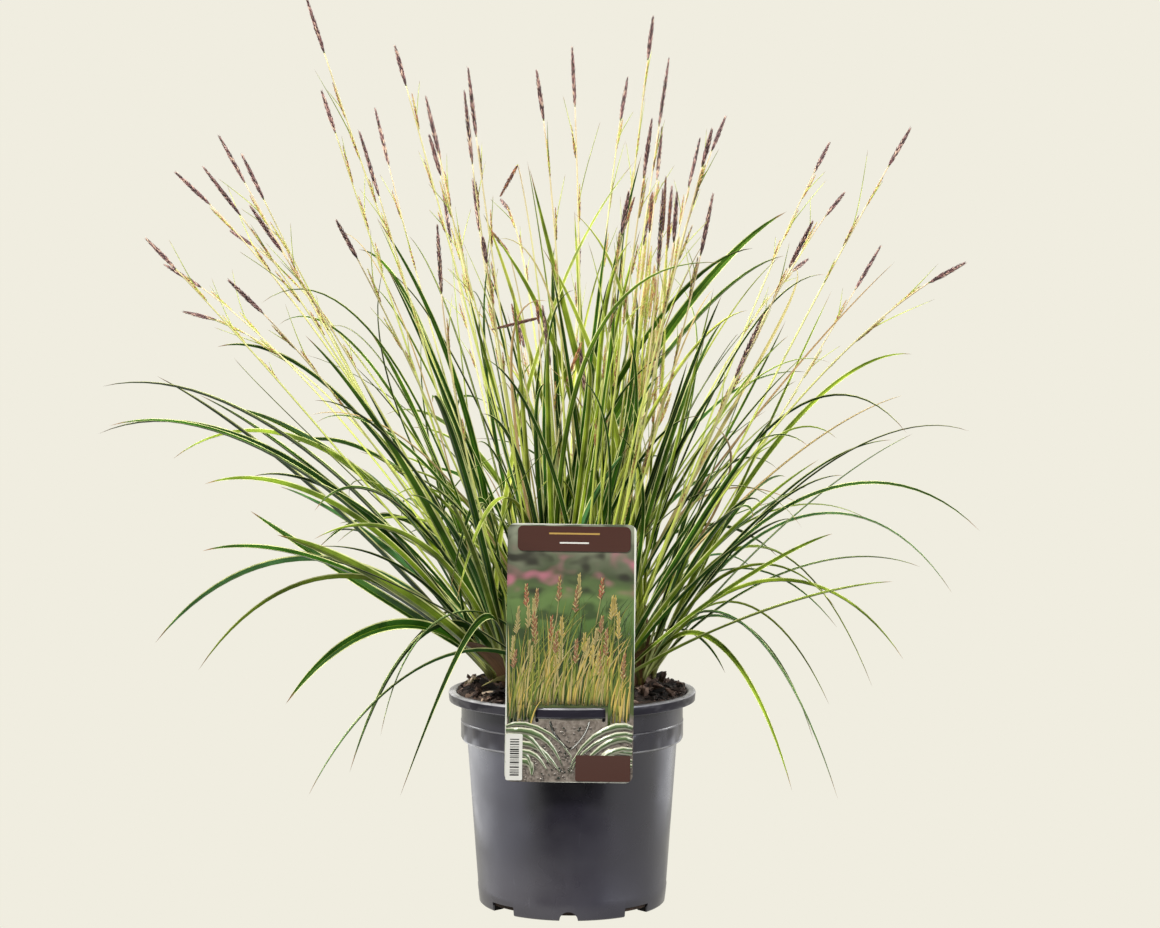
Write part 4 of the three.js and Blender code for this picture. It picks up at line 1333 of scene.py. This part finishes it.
def tongue_slit(depth, matrix):
    """The thin cut round the tongue under the slot, between an outer and an inner curve."""
    half, drop, cut = LABEL["tongue_width"] / 2, LABEL["tongue_drop"], LABEL["cut"] * 0.7
    t = np.linspace(0, 1, 15)[:, None]

    def arc(a, b, c):
        a, b, c = map(np.array, (a, b, c))
        return (1 - t) ** 2 * a + 2 * (1 - t) * t * b + t * t * c

    def bowl(half, side, low):
        across, down = side
        left, right = (-across, -down), (across, -down)
        return np.vstack([arc((-half, 0), left, (0, low)), arc((0, low), right, (half, 0))[1:]])

    outer = bowl(half, (half * 0.8, drop * 0.62), -drop)
    inner = bowl(half - cut, (half * 0.76, drop * 0.56), -drop + 1.4 * cut)
    bm = bmesh.new()
    rows = [[bm.verts.new((x * MM, 0, z * MM)) for x, z in row] for row in (outer, inner)]
    for corners in zip(rows[0], rows[0][1:], rows[1][1:], rows[1]):
        bm.faces.new(corners)
    return thickened(bm, depth, matrix)


def make_label():
    """The card with its slot, a hook at each end of it and the tongue under it."""
    card = finished(
        rounded_card(LABEL["width"], LABEL["height"], LABEL["corner"], LABEL["thickness"],
                     LABEL_PLACE), "hang_card", [card_finish()], ["hang_label"])
    slot_height = POT["rim_band"] + LABEL["slot_slack"]
    slot_centre = POT["height"] - POT["rim_band"] / 2
    through = 3 * LABEL["thickness"]

    def level(z):
        return Matrix.Translation((LABEL["x"] * MM, LABEL["y"] * MM, z * MM))

    slot = level(slot_centre)
    cut_away(card, rounded_card(LABEL["slot"], slot_height, 1, through, slot, 4))
    for side in (-1, 1):
        end = (side * (LABEL["slot"] / 2 - 1.1) * MM, 0, -slot_height / 2 * MM)
        hook = slot @ Matrix.Translation(end)
        cut_away(card, rounded_card(2.2, 4.4, 1, through, hook, 4))
    cut_away(card, tongue_slit(through, level(slot_centre - slot_height / 2 - 1.5)))
    smooth_piece(card, SHARP["card"])
    make_print()


INKS = [
    srgb(75, 42, 35), srgb(234, 234, 230), srgb(44, 42, 42), srgb(192, 156, 84), srgb(48, 70, 30),
    srgb(84, 108, 40), srgb(146, 152, 62), srgb(190, 174, 112), srgb(160, 108, 74),
    srgb(172, 96, 66), srgb(206, 208, 184), srgb(96, 118, 78), srgb(30, 38, 24),
    srgb(206, 180, 92), srgb(146, 136, 128), srgb(124, 114, 106), srgb(84, 74, 66),
]
(BAND, PAPER, BAR, GOLD, DEEP, GRASS, BRIGHT, PALE, TAN, ORANGE, CREAM, STRIPE, SHADE, YELLOW,
 STONE, DUST, EARTH) = range(len(INKS))
PRINT_STEPS = 7
PRINT_DEPTH = (0.66, 0.66, 0.66, 1.0)
BLADE_SWELL = ([0, 0.3, 1], [0.7, 1.0, 0.05])
DROP_SWELL = np.array([0.5, 0.95, 1, 0.7, 0.1])
print_blade = tube(4, PRINT_STEPS, "print blade", pointed=True)
print_drop = tube(4, 4, "print drop", pointed=True)

# The meadow's rows from back to front: blades, their least and most height, their inks and the
# seed heads that stand over them.
MEADOW = [
    (110, (34, 74), (SHADE, DEEP, DEEP, GRASS), 0),
    (130, (26, 72), (DEEP, GRASS, GRASS, BRIGHT), 17),
    (120, (16, 62), (GRASS, BRIGHT, PALE, YELLOW), 17),
    (60, (10, 34), (BRIGHT, PALE, YELLOW, GRASS), 0),
]
PEBBLES = (260, (STONE, DUST, DUST, STONE, SHADE, EARTH))
STRIPED_LEAVES = 14
# Plain patches: left, right, low, high, ink and the corners' radius. They are the title band with
# its two rules, the blank field at the foot and the paper of the barred patch.
PATCHES = [
    (-35.4, 38.2, 152.2, 168.6, BAND, 3.2), (-15, 18, 163.2, 164.3, GOLD, 0),
    (-8, 11, 157.2, 158.2, PAPER, 0), (4.4, 40.4, 1.0, 18.2, BAND, 1.2),
    (-41.4, -30.4, 1.0, 31.8, PAPER, 1.2),
]
BARS = dict(left=-38.6, right=-32.6, low=4.0, high=28.5)


class Print:
    """Flat inked shapes on the label's face, each laid a hair over the last one."""

    def __init__(self):
        self.bm = new_piece_mesh()
        self.layer = 0
        self.matrix = np.array(LABEL_PLACE)

    def out(self):
        self.layer += 1
        return -LABEL["thickness"] / 2 - 0.02 - 0.0004 * self.layer

    def strip(self, form, control, width, ink, swell=None):
        """A strip along a curve of (x, z) points, as wide as given and widest near its foot."""
        a, b, z = form.corners.T
        x, y = a + b, b - a
        steps = round(1 / min(z[z > 1e-6]))
        ring = np.rint(z * steps).astype(int)
        shares = np.linspace(0, 1, steps + 1)
        centres = on_curve(np.array(control, dtype=float), shares)
        along = directions(centres)
        half = width / 2 * (np.interp(shares, *BLADE_SWELL) if swell is None else swell)
        px = centres[ring, 0] + along[ring, 1] * x * half[ring]
        pz = centres[ring, 1] - along[ring, 0] * x * half[ring] - LABEL["height"] / 2
        local = np.stack([px, self.out() + 0.006 * y, pz], axis=1) * MM
        world = local @ self.matrix[:3, :3].T + self.matrix[:3, 3]
        add_copy(self.bm, form, world / MM, (ink + 0.5) / len(INKS))

    def drop(self, x, z, dx, dz, width, ink):
        """A drop from one point of the page, this far across and up."""
        control = [(x, z), (x + dx / 3, z + dz / 3), (x + dx / 1.5, z + dz / 1.5), (x + dx, z + dz)]
        self.strip(print_drop, control, width, ink, DROP_SWELL)

    def patch(self, left, right, low, high, ink, radius=0):
        """A rectangle, with its corners rounded where a radius is given."""
        place_of_it = LABEL_PLACE @ Matrix.Translation((
            (left + right) / 2 * MM, self.out() * MM,
            ((low + high) / 2 - LABEL["height"] / 2) * MM))
        card = rounded_card(right - left, high - low, max(radius, 0.02), 0.012, place_of_it,
                            6 if radius else 1)
        add_mesh(self.bm, mesh_of(card, "patch"), (ink + 0.5) / len(INKS))


def add_seed_head(page, chance, low, high):
    """A loose head of small drops up a thin stalk."""
    pick = chance.uniform
    x, z, lean = pick(-39, 36), pick(low, high), pick(-1.5, 4)
    tall = pick(9, 17)
    ink = chance.choice((TAN, TAN, ORANGE, PALE, YELLOW))
    stalk = [(x - lean, z - 16), (x - lean / 2, z - 8), (x, z), (x + lean / 3, z + tall)]
    page.strip(print_blade, stalk, 0.5, chance.choice((BRIGHT, PALE, GRASS)))
    for k in range(26):
        share = k / 26
        cx, cz = x + lean / 3 * share, z + tall * share
        a = pick(0.2, 0.9) * (1 if k % 2 else -1)
        dx, dz = 3.6 * (1 - 0.6 * share) * math.sin(a), 3.6 * math.cos(a)
        if abs(cx + dx) < 41 and cz + dz < 150:
            page.drop(cx, cz, dx, dz, 0.8, ink if k % 3 else PALE)


def add_meadow(page, chance):
    """A meadow that leans to the right, with seed heads over it."""
    pick = chance.uniform
    for count, tall, inks, heads in MEADOW:
        for _ in range(count):
            x = pick(-40.5, 39.5)
            low = pick(50.5, 53) if abs(x) < 25 else pick(36, 52)
            rise = pick(*tall)
            lean = max(-41 - x, min(40.5 - x, rise * pick(-0.1, 0.55)))
            control = [(x, low), (x + 0.1 * lean, low + 0.4 * rise),
                       (x + 0.4 * lean, low + 0.8 * rise), (x + lean, low + rise)]
            page.strip(print_blade, control, pick(0.5, 1.5), chance.choice(inks))
        for _ in range(heads):
            add_seed_head(page, chance, 66, 122)


def add_bed(page, chance):
    """A pebble bed with long striped leaves that sweep in from both sides."""
    pick, (pebbles, inks) = chance.uniform, PEBBLES
    for _ in range(pebbles):
        x, z = pick(-40, 40), pick(1, 37)
        a, b = pick(-0.5, 0.5), pick(0.8, 2.4)
        page.drop(x, z, math.cos(a) * b, math.sin(a) * b, pick(0.8, 1.8), chance.choice(inks))
    for k in range(STRIPED_LEAVES):
        side = -1 if k % 2 else 1
        z, reach = 10 + 2.1 * k + pick(-2, 2), (25 - 2.2 * k + pick(-5, 5)) * side
        sweep = pick(14, 34)
        control = [(41.4 * side, z), (sweep * side, z + pick(1, 8)),
                   (reach + pick(4, 12) * side, z - pick(2, 12)), (reach, pick(1, 9))]
        width = pick(3.2, 5.2)
        page.strip(print_blade, control, width, CREAM)
        page.strip(print_blade, control, width * pick(0.35, 0.55), STRIPE)


def add_tongue_line(page):
    """The tongue's cut edge, inked: a dark line of painted shadow, with a light line of painted
    highlight beside it on the right.
    """
    top = POT["height"] - POT["rim_band"] - LABEL["slot_slack"] / 2 - 1.5 - LABEL["bottom"]
    drop, half = LABEL["tongue_drop"], LABEL["tongue_width"] / 2 - 0.3
    for side, ink in ((-1, SHADE), (1, PAPER)):
        for shift, tint in ((0, SHADE), (0.45, ink)):
            edge = [(side * (half + shift), top), (side * (half * 0.87 + shift), top - 0.42 * drop),
                    (side * half * 0.5, top - 0.76 * drop), (0, top - drop - shift)]
            page.strip(print_blade, edge, 0.5, tint, np.ones(PRINT_STEPS + 1))


def make_print():
    page, chance = Print(), random.Random(5)
    add_meadow(page, chance)
    add_bed(page, chance)
    add_tongue_line(page)
    for patch in PATCHES:
        page.patch(*patch)
    z = BARS["low"]
    while z < BARS["high"]:
        thick = chance.choice((0.35, 0.35, 0.7, 1.05))
        page.patch(BARS["left"], BARS["right"], z, z + thick, BAR)
        z += thick + chance.choice((0.35, 0.5, 0.8))
    inks = Finish("label inks", 0.25, Specular_IOR_Level=0.5)
    stops = [(k / len(INKS), colour) for k, colour in enumerate(INKS)]
    colour = inks.ramp(inks.tone(), stops, stepped=True)
    inks.wire("Base Color", inks.mix(1.0, colour, PRINT_DEPTH, blend="MULTIPLY"))
    finished(page.bm, "label_print", [inks.material])


def card_finish():
    """White card with a blurred garden printed on it, sharp-edged against its white margin."""
    card = Finish("label card", 0.22, Specular_IOR_Level=0.5)
    width, height = LABEL["width"] * MM, LABEL["height"] * MM
    at = card.place(shift=(-LABEL["x"] * MM, 0, -LABEL["bottom"] * MM))
    x, _, z = card.axes(at)
    up = card.number("DIVIDE", z, height)
    drift = card.noise(card.place(stretch=(1, 1, 1.6)), 34.0, 2)
    waves = card.times(card.number("SUBTRACT", drift, 0.5), 0.2)
    field = card.ramp(card.number("ADD", up, waves), [
        (0.0, srgb(120, 112, 104)), (0.22, srgb(132, 124, 114)), (0.27, srgb(78, 92, 44)),
        (0.42, srgb(58, 80, 38)), (0.6, srgb(84, 116, 54)), (0.72, srgb(104, 132, 74)),
        (0.8, srgb(72, 84, 58)), (0.9, srgb(128, 132, 112)), (1.0, srgb(160, 166, 146)),
    ])
    clumps = card.noise(card.place(stretch=(1, 1, 1.4), shift=(3, 0, 1)), 60.0, 1)
    bloom = card.over(field, srgb(186, 118, 134), clumps, 0.5, 0.74)
    dusk = card.over(bloom, srgb(44, 42, 36), clumps, 0.48, 0.3, 0.9)
    hollow = card.over(field, srgb(38, 52, 28), clumps, 0.52, 0.36, 0.7)
    in_hedge = card.times(card.between(up, 0.7, 0.76), card.between(up, 0.93, 0.88))
    pebble = card.ramp(card.noise(at, 500.0, 3, 0.7), [
        (0.3, srgb(92, 82, 76)), (0.5, srgb(126, 116, 108)), (0.7, srgb(158, 148, 140))])
    ground = card.over(card.mix(in_hedge, hollow, dusk), pebble, up, 0.262, 0.235)
    edge = 0.32 * MM
    side = card.number("SUBTRACT", card.number("ABSOLUTE", x), width / 2 - edge)
    end = card.number("SUBTRACT", card.off(z, height / 2), height / 2 - edge)
    margin = card.between(card.number("MAXIMUM", side, end), -0.0001, 0.0001)
    _, facing, _ = card.axes(card.add("TexCoord", {}, out=1))
    blank = card.number("MAXIMUM", margin, card.between(facing, -0.3, 0.0))
    printed = card.mix(1.0, ground, PRINT_DEPTH, blend="MULTIPLY")
    card.wire("Base Color", card.mix(blank, printed, srgb(196, 198, 190)))
    return card.material


# ---- studio ----

CREAM_AIR = srgb(240, 237, 224)
CAMERA = dict(lens=77.3, at=(0.0054, -1.7, 0.4065), down=3.55)
BACKDROP = dict(bend=1.3, reach=6.5, wall=9.0, under=-0.2)  # in metres, but for how far it is under
# Soft lights: name, place, size, power and colour.
LIGHTS = [
    ("key", (-1.1, -1.6, 2.2), 0.55, 125, (1.0, 0.98, 0.92)),
    ("fill", (1.9, -1.3, 1.1), 0.9, 36, (0.96, 0.98, 1.0)),
    ("back left", (-1.6, 1.2, 1.5), 1.0, 40, (1.0, 1.0, 0.96)),
    ("back right", (1.6, 1.2, 1.5), 1.0, 40, (1.0, 1.0, 0.96)),
]
# Cards that lie on the floor: name, place, size and strength.
FLOOR_SHEENS = [
    ("dark floor", (0.01, -0.35), (0.28, 0.36), 0.0),
    ("bright floor beside", (-0.24, -0.09), (0.2, 0.18), 1.9),
    ("bright floor left", (-0.36, 0.2), (0.36, 0.4), 2.4),
    ("bright floor right", (0.4, 0.26), (0.36, 0.38), 1.8),
]


def stage_piece(bm, name, paint, colour, strength):
    """A part of the studio that only glows, and neither lights nor shades the object."""
    piece = in_scene(name, mesh_of(bm, name))
    glow = Finish(paint, 1.0, Specular_IOR_Level=0.0, Base_Color=(0, 0, 0, 1),
                  Emission_Color=colour, Emission_Strength=strength)
    piece.data.materials.append(glow.material)
    piece.visible_diffuse = False
    piece.visible_shadow = False
    return piece


def sheen_card(name, at, size, strength):
    """A card that only shows as a sheen in what is glossy."""
    bm = bmesh.new()
    bmesh.ops.create_grid(bm, x_segments=1, y_segments=1, size=0.5,
                          matrix=at @ Matrix.Diagonal((*size, 1, 1)))
    stage_piece(bm, name, name, (1, 1, 1, 1), strength).visible_camera = False


def soft_light(name, at, size, power, colour):
    light = bpy.data.lights.new(name, "AREA")
    light.shape = "SQUARE"
    light.size = size
    light.energy = power
    light.color = colour
    lamp = in_scene(name, light)
    lamp.location = at
    towards = Vector((0, 0, 0.3)) - lamp.location
    lamp.rotation_euler = towards.to_track_quat("-Z", "Y").to_euler()


def make_studio():
    """A pale floor that curves up into a backdrop all round, soft lights and sheens."""
    bend, reach = BACKDROP["bend"], BACKDROP["reach"]
    points = [(0.0, 0.0), (reach, 0.0)]
    points += [(reach + bend * math.sin(a), bend - bend * math.cos(a))
               for a in np.linspace(0.1, math.pi / 2, 16)]
    points.append((reach + bend, BACKDROP["wall"]))
    floor = turned([(r / MM, z / MM + BACKDROP["under"]) for r, z in points], 96)
    stage_piece(floor, "studio_floor", "cream studio", CREAM_AIR, 1.0).data.shade_smooth()

    world = bpy.data.worlds.new("studio air")
    bpy.context.scene.world = world
    world.use_nodes = True
    air = world.node_tree.nodes["Background"].inputs
    air["Color"].default_value = CREAM_AIR
    air["Strength"].default_value = 0.38
    for light in LIGHTS:
        soft_light(*light)
    for name, (x, y), size, strength in FLOOR_SHEENS:
        sheen_card(name, Matrix.Translation((x, y, 0.0005)), size, strength)
    upright = Matrix.Translation((0, -2.6, 1.6)) @ Matrix.Rotation(math.pi / 2, 4, "X")
    sheen_card("dark front", upright, (5.0, 3.2), 0.0)


def make_camera():
    data = bpy.data.cameras.new("camera")
    data.sensor_width = 36
    data.lens = CAMERA["lens"]
    camera = in_scene("camera", data)
    camera.location = CAMERA["at"]
    camera.rotation_euler = (math.radians(90 - CAMERA["down"]), 0, 0)
    bpy.context.scene.camera = camera


make_camera()
make_studio()
make_pot()
make_soil()
make_bark()
leaf_material, sheath_material = leaf_finish(), sheath_finish()
make_tufts(leaf_material, sheath_material)
make_stems(stem_finish(), leaf_material)
make_label()
bpy.context.scene.view_settings.view_transform = "Standard"
